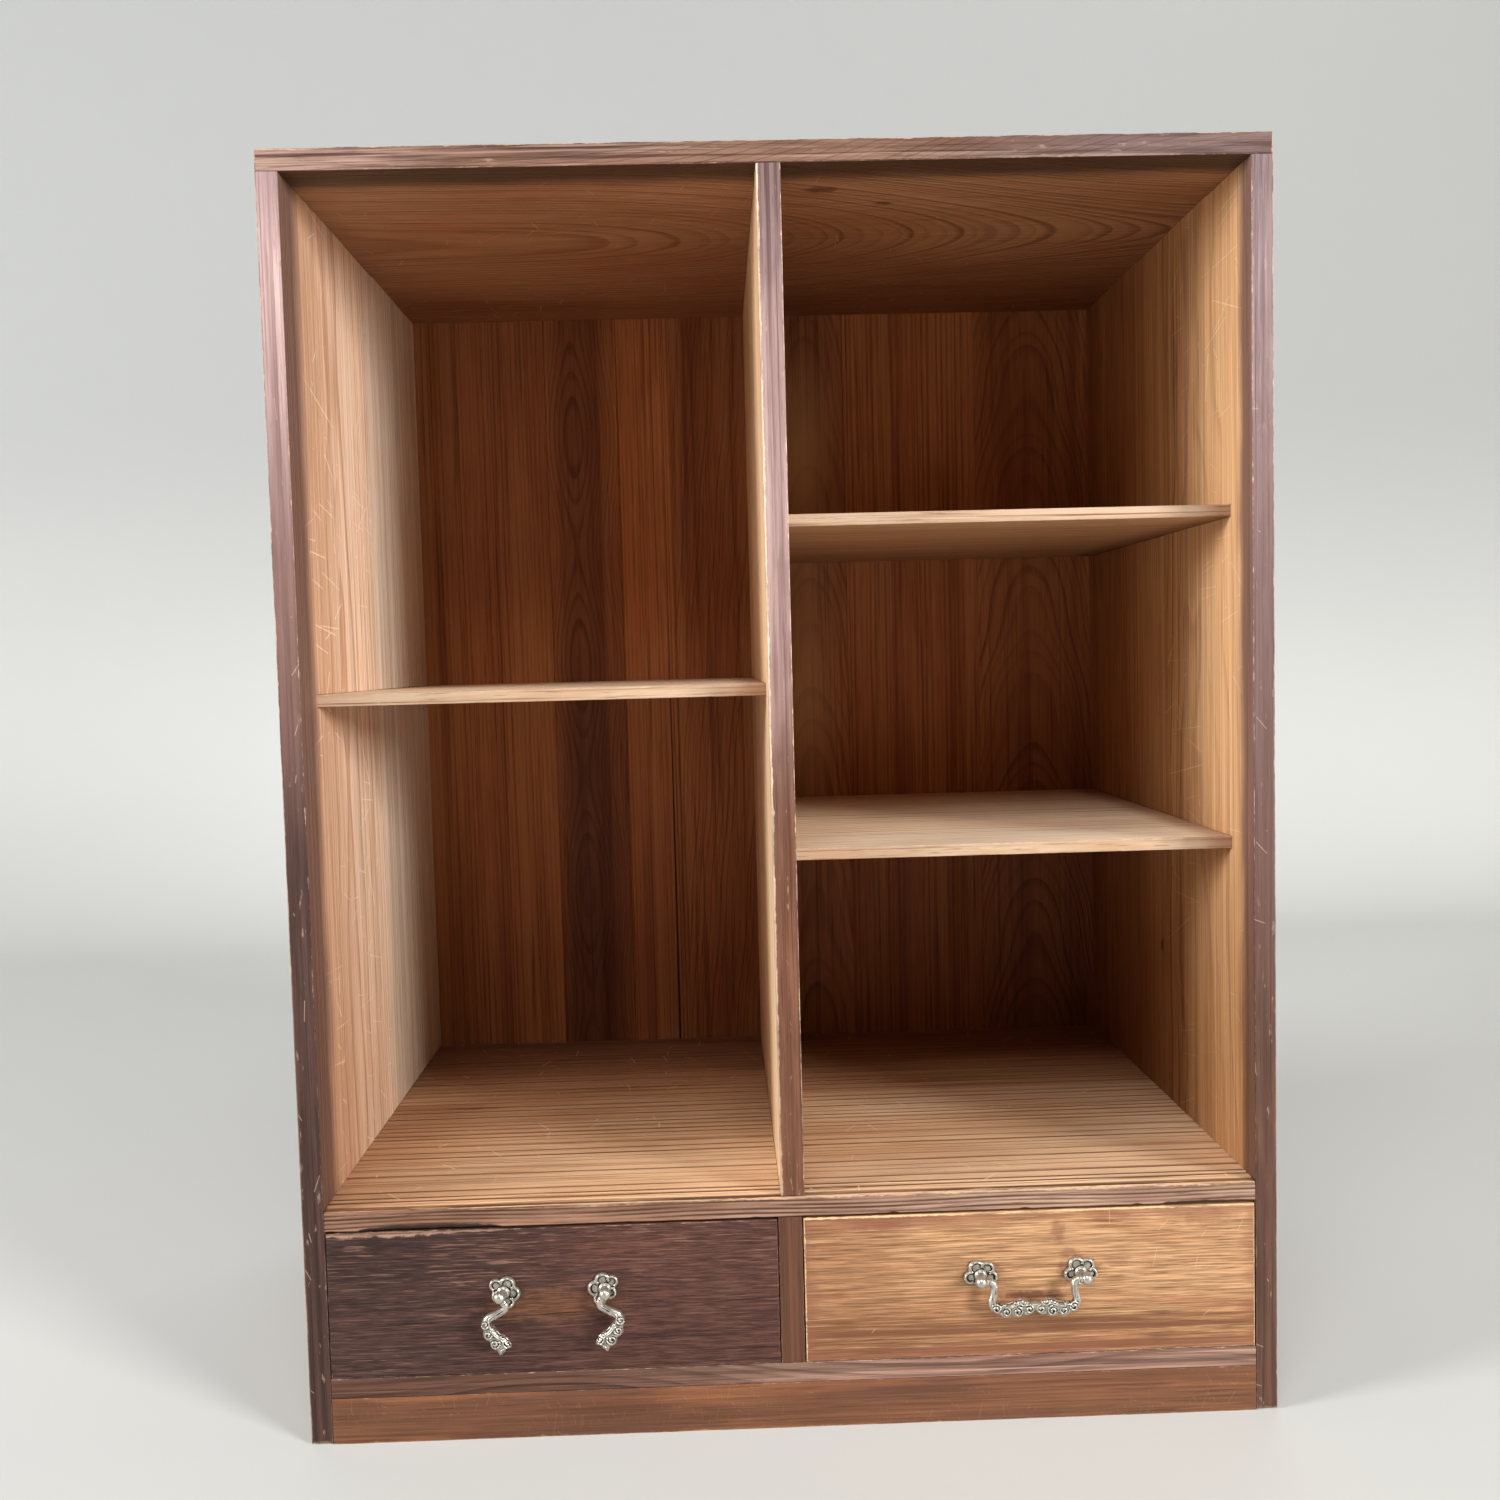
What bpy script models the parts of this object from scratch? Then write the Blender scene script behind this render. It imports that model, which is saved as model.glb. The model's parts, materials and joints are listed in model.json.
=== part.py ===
"""An open two-bay cedar tansu over two drawers with cast scroll pulls.

Metres, +Z up, the front faces -Y. The origin is at the middle of the footprint of the whole object, pulls
included. Boards are housed, fingered, rabbeted and tenoned into each other with a small gap at every seat.
"""

from math import atan2, copysign, cos, pi, radians, sin, sqrt, tau

import bmesh
import bpy
from mathutils import Matrix, Vector

# Carcass
WIDTH = 0.700
HEIGHT = 0.911
DEPTH = 0.455
SIDE_T = 0.0155
TOP_T = 0.0153
FLOOR_T = 0.0153
BOTTOM_T = 0.0143
BACK_T = 0.008
DIVIDER_T = 0.017
SHELF_T = 0.0088
SHELF_SETBACK = 0.044
PLINTH_H = 0.034
PLINTH_T = 0.015

# Seams between planks joined edge to edge, measured from the front
TOP_SEAM = 0.367
LEFT_SIDE_SEAM = 0.235
RIGHT_SIDE_SEAM = 0.203
DIVIDER_SEAM = 0.225
FLOOR_SEAM = 0.247
BOTTOM_SEAM = 0.230

# Back planks from left to right; they are ripped in these proportions to fill the back
BACK_PLANKS = (0.135, 0.071, 0.053, 0.172, 0.132, 0.121)
SHIPLAP = 0.008

# Joinery
FIT = 0.0003
HOUSING = 0.004
HOUSING_STOP = 0.020
FINGERS = 5
TENON_L = 0.005
OVERCUT = 0.002

# Between and under the drawers
DRAWER_OPENING_H = 0.1077
STILE_W = 0.017
STILE_DEPTH = 0.024
STILE_X = -0.0023
GUIDE_H = 0.012

# Drawers
DRAWER_FRONT_T = 0.015
DRAWER_SIDE_T = 0.009
DRAWER_BACK_T = 0.009
DRAWER_BOTTOM_T = 0.006
DRAWER_SIDE_GAP = 0.0008
DRAWER_TOP_GAP = 0.0016
DRAWER_REAR_GAP = 0.0015
DRAWER_SIDE_DROP = 0.004
FRONT_LAP = 0.008

# Pulls, from the drawer front outwards
PULL_PITCH = 0.0725
PULL_Z = 0.0597
PIVOT_OUT = 0.012
ROSETTE_T = 0.0026
BOSS_R = 0.0042
SHANK_R = 0.002
NECK_R = 0.003
LEG_L = 0.011
LEG_W = 0.0032
LEG_T = 0.0012
BALL_R = 0.0044
BALL_OFFSET = 0.0016
COLLAR_R = 0.0029
EYE_REACH = 0.0036
PIN_R = 0.0014
PIN_REACH = 0.0015
ARM_SPAN = 0.0568
ARM_R = 0.0027
ARM_DROP = 0.0183
FOOT_SPREAD = 0.0015
ELBOW_R = 0.0035
CORNER_R = 0.0042
GRIP_UPPER = 0.0029
GRIP_SHOULDER = 0.0015
GRIP_HUMP = 0.0022
HUMP_X = 0.0105
HUMP_HALF = 0.0065
GRIP_LOWER = 0.0053
GRIP_SWELL = 0.0028
GRIP_HALF_T = 0.0032
GRIP_FULLNESS = 0.7
LOBE_PITCH = 0.0084
LOBE_DEPTH = 0.0024
BREAK_GAP = 0.004
BREAK_FORK = 0.0024
BROKEN_TURN = radians(55)

# How finely the castings are cut into facets
BAIL_SIDES = 12
ARM_STEP = 0.0021
GRIP_STEP = 0.0011
ARC_PIECES = 5
TURNED_SIDES = 16
ROSETTE_POINTS = 48

# Petals of a rosette: degrees round from the drawer's right, distance of the middle, radius
PETALS = (
    (-8, 0.0076, 0.0047),
    (48, 0.0068, 0.0056),
    (118, 0.0066, 0.0059),
    (188, 0.0076, 0.0049),
    (270, 0.0046, 0.0046),
)

# Places worked out from the sizes above
HALF = WIDTH / 2
INNER = HALF - SIDE_T
PULL_PROJECTION = PIVOT_OUT + BALL_R
FRONT_Y = (PULL_PROJECTION - DEPTH) / 2
REAR_Y = FRONT_Y + DEPTH
SEAT_Y = REAR_Y - BACK_T - FIT
BOTTOM_Z = PLINTH_H + BOTTOM_T
FLOOR_UNDER_Z = BOTTOM_Z + DRAWER_OPENING_H
FLOOR_Z = FLOOR_UNDER_Z + FLOOR_T
TOP_UNDER_Z = HEIGHT - TOP_T
RABBET_X = HALF - SIDE_T / 2
RABBET_Z = TOP_UNDER_Z + TOP_T / 2
STOP_Y = FRONT_Y + HOUSING_STOP
SHELF_Y = FRONT_Y + SHELF_SETBACK
DIVIDER_FACE = DIVIDER_T / 2

# Finishes: linear colour, roughness, metallic
STAINED = ((0.115, 0.062, 0.050), 0.55, 0.0)
CEDAR = ((0.36, 0.19, 0.085), 0.60, 0.0)
PALE_CEDAR = ((0.52, 0.33, 0.17), 0.60, 0.0)
BACK_CEDAR = ((0.20, 0.075, 0.028), 0.60, 0.0)
DARK_FRONT = ((0.085, 0.040, 0.032), 0.50, 0.0)
TAN_FRONT = ((0.45, 0.25, 0.115), 0.55, 0.0)
PLINTH_BROWN = ((0.24, 0.095, 0.045), 0.50, 0.0)
PEWTER = ((0.42, 0.40, 0.36), 0.38, 1.0)


def clear_scene():
    for item in list(bpy.data.objects):
        bpy.data.objects.remove(item, do_unlink=True)


def finish(piece, colour, roughness, metallic):
    """Give a piece its own material."""
    material = bpy.data.materials.new(piece.name + "_finish")
    material.use_nodes = True
    shader = material.node_tree.nodes["Principled BSDF"]
    shader.inputs["Base Color"].default_value = (*colour, 1.0)
    shader.inputs["Roughness"].default_value = roughness
    shader.inputs["Metallic"].default_value = metallic
    piece.data.materials.append(material)


def place(name, bm, parent=None):
    """Turn a bmesh, drawn in its parent's frame, into a named object."""
    bmesh.ops.recalc_face_normals(bm, faces=bm.faces)
    mesh = bpy.data.meshes.new(name)
    bm.to_mesh(mesh)
    bm.free()
    piece = bpy.data.objects.new(name, mesh)
    bpy.context.scene.collection.objects.link(piece)
    piece.parent = parent
    return piece


def axis_empty(name, location, parent=None, turn=0.0):
    """An empty on a joint's axis, turned about Y."""
    empty = bpy.data.objects.new(name, None)
    empty.empty_display_size = 0.02
    empty.location = location
    empty.rotation_euler = (0.0, turn, 0.0)
    empty.parent = parent
    bpy.context.scene.collection.objects.link(empty)
    return empty


def add_box(bm, low, high):
    low, high = Vector(low), Vector(high)
    size = Matrix.Diagonal((*(high - low), 1.0))
    bmesh.ops.create_cube(bm, size=1.0, matrix=Matrix.Translation((low + high) / 2) @ size)


def add_prism(bm, outline, axis, low, high):
    """Extrude an outline along an axis: X takes (y, z) points, Y takes (x, z) and Z takes (x, y)."""
    at = "XYZ".index(axis)
    corners = [bm.verts.new((*point[:at], low, *point[at:])) for point in outline]
    base = bm.faces.new(corners)
    grown = bmesh.ops.extrude_face_region(bm, geom=[base])["geom"]
    step = Vector((0.0, 0.0, 0.0))
    step[at] = high - low
    bmesh.ops.translate(bm, vec=step, verts=[v for v in grown if isinstance(v, bmesh.types.BMVert)])


def add_loft(bm, rings):
    """Skin a row of closed rings of points that match one to one, with both ends filled."""
    loops = [[bm.verts.new(point) for point in ring] for ring in rings]
    for near, far in zip(loops, loops[1:]):
        for k in range(len(near)):
            bm.faces.new((near[k - 1], near[k], far[k], far[k - 1]))
    for loop in (loops[0], loops[-1]):
        cap = bm.faces.new(loop)
        bmesh.ops.poke(bm, faces=[cap])


def block(name, low, high, look, parent=None):
    bm = bmesh.new()
    add_box(bm, low, high)
    piece = place(name, bm, parent)
    finish(piece, *look)
    return piece


def board(name, outline, axis, low, high, look, parent=None):
    bm = bmesh.new()
    add_prism(bm, outline, axis, low, high)
    piece = place(name, bm, parent)
    finish(piece, *look)
    return piece


def guide(piece):
    """Hide a shape that only cuts, or is joined to, another."""
    piece.hide_render = True
    piece.display_type = "WIRE"
    return piece


def box_cutter(name, boxes, parent=None):
    bm = bmesh.new()
    for low, high in boxes:
        add_box(bm, low, high)
    return guide(place(name, bm, parent))


def combine(piece, operation, *tools):
    for tool in tools:
        change = piece.modifiers.new(tool.name, "BOOLEAN")
        change.operation = operation
        change.solver = "EXACT"
        change.object = tool


def smooth(piece, angle=radians(40)):
    piece.data.shade_smooth()
    piece.data.set_sharp_from_angle(angle=angle)


def stopped_tongues(y0, y1, low, high, low_end, high_end):
    """Outline, as (y, b), of a plank whose two edges reach their housings only behind the stop."""
    return [
        (y0, low), (y0, high), (STOP_Y, high), (STOP_Y, high_end),
        (y1, high_end), (y1, low_end), (STOP_Y, low_end), (STOP_Y, low),
    ]


def swapped(outline):
    return [(b, a) for a, b in outline]


def finger_edge(y0, y1, socket, finger, grow=0.0):
    """Steps, as (y, value), along a fingered corner from y0 to y1; every second stretch is a finger."""
    width = DEPTH / FINGERS
    bounds = [FRONT_Y + n * width + (-grow if n % 2 else grow) for n in range(FINGERS + 1)]
    bounds[0], bounds[-1] = FRONT_Y, REAR_Y
    points = []
    for n, (start, end) in enumerate(zip(bounds, bounds[1:])):
        start, end = max(start, y0), min(end, y1)
        if end > start:
            value = finger if n % 2 else socket
            points += [(start, value), (end, value)]
    return points


def top_plank(name, y0, y1):
    edge = finger_edge(y0, y1, HALF, INNER - FIT, FIT)
    outline = [(x, y) for y, x in edge] + [(-x, y) for y, x in reversed(edge)]
    return board(name, outline, "Z", TOP_UNDER_Z, HEIGHT, STAINED)


def side_plank(name, sign, y0, y1):
    edge = finger_edge(y0, y1, TOP_UNDER_Z - FIT, HEIGHT)
    outline = [(y1, 0.0), (y0, 0.0)] + edge
    low, high = sorted((sign * HALF, sign * INNER))
    return board(name, outline, "X", low, high, CEDAR)


def housing(sign, face, y0, y1, z0, z1):
    """Box that cuts a groove for a board's end into an upright's face, on the side that sign gives."""
    deep = face + sign * (HOUSING + FIT)
    open_side = face - sign * OVERCUT
    low, high = sorted((deep, open_side))
    return (low, y0 - FIT, z0 - FIT), (high, y1 + OVERCUT, z1 + FIT)


def shelf_tops(count):
    """Top heights of shelves that divide a bay into equal spaces."""
    space = (TOP_UNDER_Z - FLOOR_Z - count * SHELF_T) / (count + 1)
    return [FLOOR_Z + n * (space + SHELF_T) for n in range(1, count + 1)]


LEFT_SHELF_Z, = shelf_tops(1)
RIGHT_LOWER_Z, RIGHT_UPPER_Z = shelf_tops(2)


def build_sides():
    boards = ((BOTTOM_Z - BOTTOM_T, BOTTOM_Z, STOP_Y), (FLOOR_UNDER_Z, FLOOR_Z, STOP_Y))
    shelves = {-1: [LEFT_SHELF_Z], 1: [RIGHT_LOWER_Z, RIGHT_UPPER_Z]}
    for sign, word, seam in ((-1, "left", LEFT_SIDE_SEAM), (1, "right", RIGHT_SIDE_SEAM)):
        seats = [(z0, z1, y0) for z0, z1, y0 in boards]
        seats += [(z - SHELF_T, z, SHELF_Y) for z in shelves[sign]]
        grooves = box_cutter(
            word + "_side_grooves",
            [housing(sign, sign * INNER, y0, SEAT_Y, z0, z1) for z0, z1, y0 in seats],
        )
        near, far = sorted((sign * RABBET_X, sign * (INNER - OVERCUT)))
        rabbet = box_cutter(
            word + "_side_rabbet", [((near, SEAT_Y, -OVERCUT), (far, REAR_Y + OVERCUT, HEIGHT))]
        )
        seam_y = FRONT_Y + seam
        front = side_plank(word + "_side_front_plank", sign, FRONT_Y, seam_y)
        rear = side_plank(word + "_side_rear_plank", sign, seam_y + FIT, REAR_Y)
        combine(front, "DIFFERENCE", grooves)
        combine(rear, "DIFFERENCE", grooves, rabbet)


def build_top():
    seam_y = FRONT_Y + TOP_SEAM
    front = top_plank("top_front_plank", FRONT_Y, seam_y)
    rear = top_plank("top_rear_plank", seam_y + FIT, REAR_Y)
    slot = DIVIDER_FACE + FIT
    groove = box_cutter(
        "top_groove",
        [((-slot, STOP_Y - FIT, TOP_UNDER_Z - OVERCUT), (slot, SEAT_Y + FIT, TOP_UNDER_Z + HOUSING + FIT))],
    )
    rabbet = box_cutter(
        "top_rabbet",
        [((-RABBET_X, SEAT_Y, TOP_UNDER_Z - OVERCUT), (RABBET_X, REAR_Y + OVERCUT, RABBET_Z))],
    )
    combine(front, "DIFFERENCE", groove)
    combine(rear, "DIFFERENCE", groove, rabbet)


def build_level(name, seam, z0, z1, look):
    """Two planks across the carcass, flush at the front and housed in the sides behind the stop."""
    seam_y = FRONT_Y + seam
    butt, tongue = INNER - FIT, INNER + HOUSING
    outline = swapped(stopped_tongues(FRONT_Y, seam_y, -butt, butt, -tongue, tongue))
    front = board(name + "_front_plank", outline, "Z", z0, z1, look)
    rear = block(name + "_rear_plank", (-tongue, seam_y + FIT, z0), (tongue, SEAT_Y, z1), look)
    return front, rear


def build_stile_and_levels():
    tenon_y = FRONT_Y + STILE_DEPTH / 3, FRONT_Y + 2 * STILE_DEPTH / 3
    low, high = BOTTOM_Z + FIT, FLOOR_UNDER_Z - FIT
    left, right = STILE_X - STILE_W / 2, STILE_X + STILE_W / 2
    outline = [
        (FRONT_Y, low), (FRONT_Y, high), (tenon_y[0], high), (tenon_y[0], high + TENON_L),
        (tenon_y[1], high + TENON_L), (tenon_y[1], high), (FRONT_Y + STILE_DEPTH, high),
        (FRONT_Y + STILE_DEPTH, low), (tenon_y[1], low), (tenon_y[1], low - TENON_L),
        (tenon_y[0], low - TENON_L), (tenon_y[0], low),
    ]
    board("drawer_stile", outline, "X", left, right, STAINED)
    mortise = (left - FIT, tenon_y[0] - FIT), (right + FIT, tenon_y[1] + FIT)
    mortises = box_cutter(
        "stile_mortises",
        [
            ((*mortise[0], low - TENON_L - FIT), (*mortise[1], BOTTOM_Z + OVERCUT)),
            ((*mortise[0], FLOOR_UNDER_Z - OVERCUT), (*mortise[1], high + TENON_L + FIT)),
        ],
    )
    slot = DIVIDER_FACE + FIT
    groove = box_cutter(
        "floor_groove",
        [((-slot, STOP_Y - FIT, FLOOR_Z - HOUSING - FIT), (slot, SEAT_Y + OVERCUT, FLOOR_Z + OVERCUT))],
    )
    floor = build_level("floor", FLOOR_SEAM, FLOOR_UNDER_Z, FLOOR_Z, PALE_CEDAR)
    bottom = build_level("bottom", BOTTOM_SEAM, BOTTOM_Z - BOTTOM_T, BOTTOM_Z, STAINED)
    combine(floor[0], "DIFFERENCE", groove, mortises)
    combine(floor[1], "DIFFERENCE", groove)
    combine(bottom[0], "DIFFERENCE", mortises)
    block(
        "drawer_guide",
        (left, FRONT_Y + STILE_DEPTH + FIT, BOTTOM_Z + FIT),
        (right, SEAT_Y, BOTTOM_Z + FIT + GUIDE_H),
        PALE_CEDAR,
    )
    block(
        "plinth_board",
        (-INNER + FIT, FRONT_Y, 0.0),
        (INNER - FIT, FRONT_Y + PLINTH_T, PLINTH_H - FIT),
        PLINTH_BROWN,
    )


def build_divider():
    seam_y = FRONT_Y + DIVIDER_SEAM
    low, high = FLOOR_Z + FIT, TOP_UNDER_Z - FIT
    low_end, high_end = FLOOR_Z - HOUSING, TOP_UNDER_Z + HOUSING
    outline = stopped_tongues(FRONT_Y, seam_y, low, high, low_end, high_end)
    front = board("divider_front_plank", outline, "X", -DIVIDER_FACE, DIVIDER_FACE, CEDAR)
    rear = block(
        "divider_rear_plank",
        (-DIVIDER_FACE, seam_y + FIT, low_end),
        (DIVIDER_FACE, SEAT_Y, high_end),
        CEDAR,
    )
    shelves = ((1, LEFT_SHELF_Z), (-1, RIGHT_LOWER_Z), (-1, RIGHT_UPPER_Z))
    grooves = box_cutter(
        "divider_grooves",
        [housing(sign, -sign * DIVIDER_FACE, SHELF_Y, SEAT_Y, z - SHELF_T, z) for sign, z in shelves],
    )
    combine(front, "DIFFERENCE", grooves)
    combine(rear, "DIFFERENCE", grooves)


def build_shelves():
    side_end, divider_end = INNER + HOUSING, DIVIDER_FACE - HOUSING
    for name, sign, z in (
        ("left_shelf", -1, LEFT_SHELF_Z),
        ("right_lower_shelf", 1, RIGHT_LOWER_Z),
        ("right_upper_shelf", 1, RIGHT_UPPER_Z),
    ):
        x0, x1 = sorted((sign * side_end, sign * divider_end))
        block(name, (x0, SHELF_Y, z - SHELF_T), (x1, SEAT_Y, z), PALE_CEDAR)


def build_back():
    """Ship-lapped upright planks, let into rabbets in the sides and the top."""
    span = 2 * (RABBET_X - FIT)
    unit = span / sum(BACK_PLANKS)
    half_gap = FIT / 2
    front, middle = REAR_Y - BACK_T, REAR_Y - BACK_T / 2
    left = -span / 2
    for n, share in enumerate(BACK_PLANKS):
        right = left + share * unit
        first, last = n == 0, n == len(BACK_PLANKS) - 1
        tail = right if last else right - SHIPLAP - half_gap
        head = left if first else left - SHIPLAP + half_gap
        x0 = left if first else left + half_gap
        x1 = right if last else right - half_gap
        outline = [(x0, front), (x1, front)]
        if not last:
            outline += [(x1, middle - half_gap), (tail, middle - half_gap)]
        outline += [(tail, REAR_Y), (head, REAR_Y)]
        if not first:
            outline += [(head, middle + half_gap), (x0, middle + half_gap)]
        board(f"back_plank_{n + 1}", outline, "Z", PLINTH_H, RABBET_Z - FIT, BACK_CEDAR)
        left = right


def disc(radius, sides, centre, axis):
    """A ring of points round an axis through centre."""
    at = "XYZ".index(axis)
    points = []
    for k in range(sides):
        angle = tau * k / sides
        flat = (radius * cos(angle), radius * sin(angle))
        points.append(Vector(centre) + Vector((*flat[:at], 0.0, *flat[at:])))
    return points


def turned(name, profile, axis, sides, parent):
    """A turned solid from (distance along the axis, radius) pairs."""
    at = "XYZ".index(axis)
    bm = bmesh.new()
    rings = []
    for along, radius in profile:
        centre = [0.0, 0.0, 0.0]
        centre[at] = along
        rings.append(disc(radius, sides, centre, axis))
    add_loft(bm, rings)
    return place(name, bm, parent)


def petal_outline(angle):
    """Distance from the centre to the outer edge of a cloud of overlapping round petals."""
    reach = 0.0
    for turn, offset, radius in PETALS:
        off = angle - radians(turn)
        inside = radius**2 - (offset * sin(off)) ** 2
        if cos(off) > 0.0 and inside > 0.0:
            reach = max(reach, offset * cos(off) + sqrt(inside))
    return reach


def build_rosette(name, axis):
    """Dished flower plate with a raised rim and a boss, pierced for the post; y runs back to the wood."""
    back = PIVOT_OUT - FIT
    hole = SHANK_R + FIT
    rim, dish = ROSETTE_T * 0.75, ROSETTE_T * 0.38
    rings = (
        (1.0, None, 0.0),
        (1.0, None, ROSETTE_T * 0.4),
        (0.93, None, rim),
        (0.78, None, dish),
        (None, BOSS_R * 1.15, dish),
        (None, BOSS_R * 0.8, ROSETTE_T),
        (None, hole, ROSETTE_T),
        (None, hole, 0.0),
    )
    bm = bmesh.new()
    loops = []
    for share, radius, height in rings:
        loop = []
        for k in range(ROSETTE_POINTS):
            angle = tau * k / ROSETTE_POINTS
            reach = petal_outline(angle) * share if share else radius
            loop.append(bm.verts.new((reach * cos(angle), back - height, reach * sin(angle))))
        loops.append(loop)
    for near, far in zip(loops, loops[1:] + loops[:1]):
        for k in range(ROSETTE_POINTS):
            bm.faces.new((near[k - 1], near[k], far[k], far[k - 1]))
    piece = place(name, bm, axis)
    finish(piece, *PEWTER)
    smooth(piece)


def build_post(name, axis, inward):
    """Ball-headed post with an eye towards inward (+1 or -1 along x) and split legs behind the front."""
    arc = 9
    meets = pi - atan2(COLLAR_R, sqrt(BALL_R**2 - COLLAR_R**2))
    profile = []
    for n in range(1, arc + 1):
        angle = meets * n / arc
        profile.append((-BALL_OFFSET - BALL_R * cos(angle), BALL_R * sin(angle)))
    profile.append((EYE_REACH, COLLAR_R))
    head = turned(name, [(inward * h, r) for h, r in profile], "X", TURNED_SIDES, axis)
    legs_y = PIVOT_OUT + DRAWER_FRONT_T + FIT
    seat = PIVOT_OUT - 2 * FIT - ROSETTE_T
    shank = turned(
        name + "_shank",
        [(0.0, NECK_R), (seat, NECK_R), (seat, SHANK_R), (legs_y + LEG_T / 2, SHANK_R)],
        "Y", TURNED_SIDES, axis,
    )
    legs = box_cutter(
        name + "_legs", [((-LEG_L, legs_y, -LEG_W / 2), (LEG_L, legs_y + LEG_T, LEG_W / 2))], axis
    )
    eye = turned(
        name + "_eye",
        [(-inward * (PIN_REACH + FIT), PIN_R + FIT), (inward * (EYE_REACH + OVERCUT), PIN_R + FIT)],
        "X", TURNED_SIDES, axis,
    )
    combine(head, "UNION", guide(shank), legs)
    combine(head, "DIFFERENCE", guide(eye))
    finish(head, *PEWTER)
    smooth(head)


def rounded_path(points, radii, steps):
    """Stations along straight runs joined by arcs; radii belong to the inner corners, steps to the runs."""
    path = [points[0]]
    for n in range(1, len(points) - 1):
        corner = points[n]
        back = (points[n - 1] - corner).normalized()
        ahead = (points[n + 1] - corner).normalized()
        half_angle = back.angle(ahead) / 2
        run = radii[n - 1] / abs(sin(half_angle) / cos(half_angle))
        start, end = corner + back * run, corner + ahead * run
        path += straight(path[-1], start, steps[n - 1])
        centre = corner + (back + ahead).normalized() * (radii[n - 1] / sin(half_angle))
        turn = pi - 2 * half_angle
        pieces = max(ARC_PIECES, round(turn * radii[n - 1] / steps[n]))
        for k in range(1, pieces + 1):
            share = k / pieces
            mix = (start - centre) * sin((1 - share) * turn) + (end - centre) * sin(share * turn)
            path.append(centre + mix / sin(turn))
    return path + straight(path[-1], points[-1], steps[-1])


def straight(start, end, step):
    count = max(1, round((end - start).length / step))
    return [start.lerp(end, k / count) for k in range(1, count + 1)]


def ease(value, low, high):
    """0 below low, 1 above high, smooth between."""
    share = min(1.0, max(0.0, (value - low) / (high - low)))
    return share * share * (3 - 2 * share)


def grip_section(along, foot):
    """Lower and upper radii of the scrolled grip at a distance from its middle."""
    lobe = abs(sin(pi * along / LOBE_PITCH)) ** 0.7
    lower = GRIP_LOWER + GRIP_SWELL * ease(along, 0.0, 1.3 * LOBE_PITCH) - LOBE_DEPTH * (1 - lobe)
    lower += (CORNER_R - lower) * ease(along, 2.6 * LOBE_PITCH, foot)
    hump = cos(pi / 2 * min(1.0, abs(along - HUMP_X) / HUMP_HALF))
    upper = GRIP_UPPER + (GRIP_SHOULDER - GRIP_UPPER) * along / foot + GRIP_HUMP * hump
    return lower, upper


def bail_half_rings(start):
    """Rings of a half bail, on the +x side, from start (distance from the middle) out to the pin's end."""
    foot = ARM_SPAN / 2 + FOOT_SPREAD
    face = PULL_PITCH / 2 - EYE_REACH - FIT
    shoulder = ARM_SPAN / 2 + ELBOW_R
    points = [
        Vector((start, -ARM_DROP)),
        Vector((foot, -ARM_DROP)),
        Vector((ARM_SPAN / 2, 0.0)),
        Vector((face, 0.0)),
    ]
    path = rounded_path(points, (CORNER_R, ELBOW_R), (GRIP_STEP, ARM_STEP, ARM_STEP))
    rings = []
    for n, point in enumerate(path):
        ahead, behind = path[min(n + 1, len(path) - 1)], path[max(n - 1, 0)]
        tangent = (ahead - behind).normalized()
        outward = Vector((tangent.y, -tangent.x))
        rise = ease(point.y, CORNER_R / 2 - ARM_DROP, -ARM_DROP * 0.4)
        lower, upper = grip_section(min(point.x, foot), foot)
        sizes = [size + (ARM_R - size) * rise for size in (lower, upper, GRIP_HALF_T)]
        rings.append(section(point, outward, *sizes, GRIP_FULLNESS + (1 - GRIP_FULLNESS) * rise))
    pin_end = PULL_PITCH / 2 + PIN_REACH
    down = Vector((0.0, -1.0))
    for x in (face, max(shoulder, face + EYE_REACH / 2), pin_end):
        rings.append(section(Vector((x, 0.0)), down, PIN_R, PIN_R, PIN_R))
    return rings


def section(point, outward, lower, upper, depth, fullness=1.0):
    """A ring round a station: an oval at fullness 1, squarer below."""
    ring = []
    for k in range(BAIL_SIDES):
        angle = tau * k / BAIL_SIDES
        across = copysign(abs(cos(angle)) ** fullness, cos(angle))
        through = copysign(abs(sin(angle)) ** fullness, sin(angle))
        spot = point + outward * (lower if across > 0 else upper) * across
        ring.append(Vector((spot.x, depth * through, spot.y)))
    return ring


def mirrored(rings):
    return [[Vector((-p.x, p.y, p.z)) for p in ring] for ring in rings]


def build_bail(name, axis):
    right = bail_half_rings(0.0)
    left = mirrored(right)
    bm = bmesh.new()
    add_loft(bm, left[:0:-1] + right)
    piece = place(name, bm, axis)
    finish(piece, *PEWTER)
    smooth(piece)


def build_half_bail(name, axis, sign):
    """One half of a bail that broke at its middle, leaving a forked end; axis sits on the pin."""
    rings = bail_half_rings(BREAK_GAP + BREAK_FORK)
    prongs = []
    for k, point in enumerate(rings[0]):
        reach = BREAK_FORK * cos(tau * k / BAIL_SIDES) ** 2
        prongs.append(point - Vector((reach, 0.0, 0.0)))
    rings[0] = prongs
    shift = Vector((PULL_PITCH / 2, 0.0, 0.0))
    rings = [[point - shift for point in ring] for ring in rings]
    bm = bmesh.new()
    add_loft(bm, rings if sign > 0 else mirrored(rings))
    piece = place(name, bm, axis)
    finish(piece, *PEWTER)
    smooth(piece)


def build_whole_pull(drawer, word):
    for sign, side in ((-1, "left"), (1, "right")):
        name = f"{word}_drawer_{side}_"
        axis = axis_empty(name + "shank_axis", (sign * PULL_PITCH / 2, -PIVOT_OUT, PULL_Z), drawer)
        build_rosette(name + "rosette", axis)
        build_post(name + "post", axis, -sign)
    build_bail(word + "_drawer_bail", axis_empty(word + "_bail_axis", (0.0, -PIVOT_OUT, PULL_Z), drawer))


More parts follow.
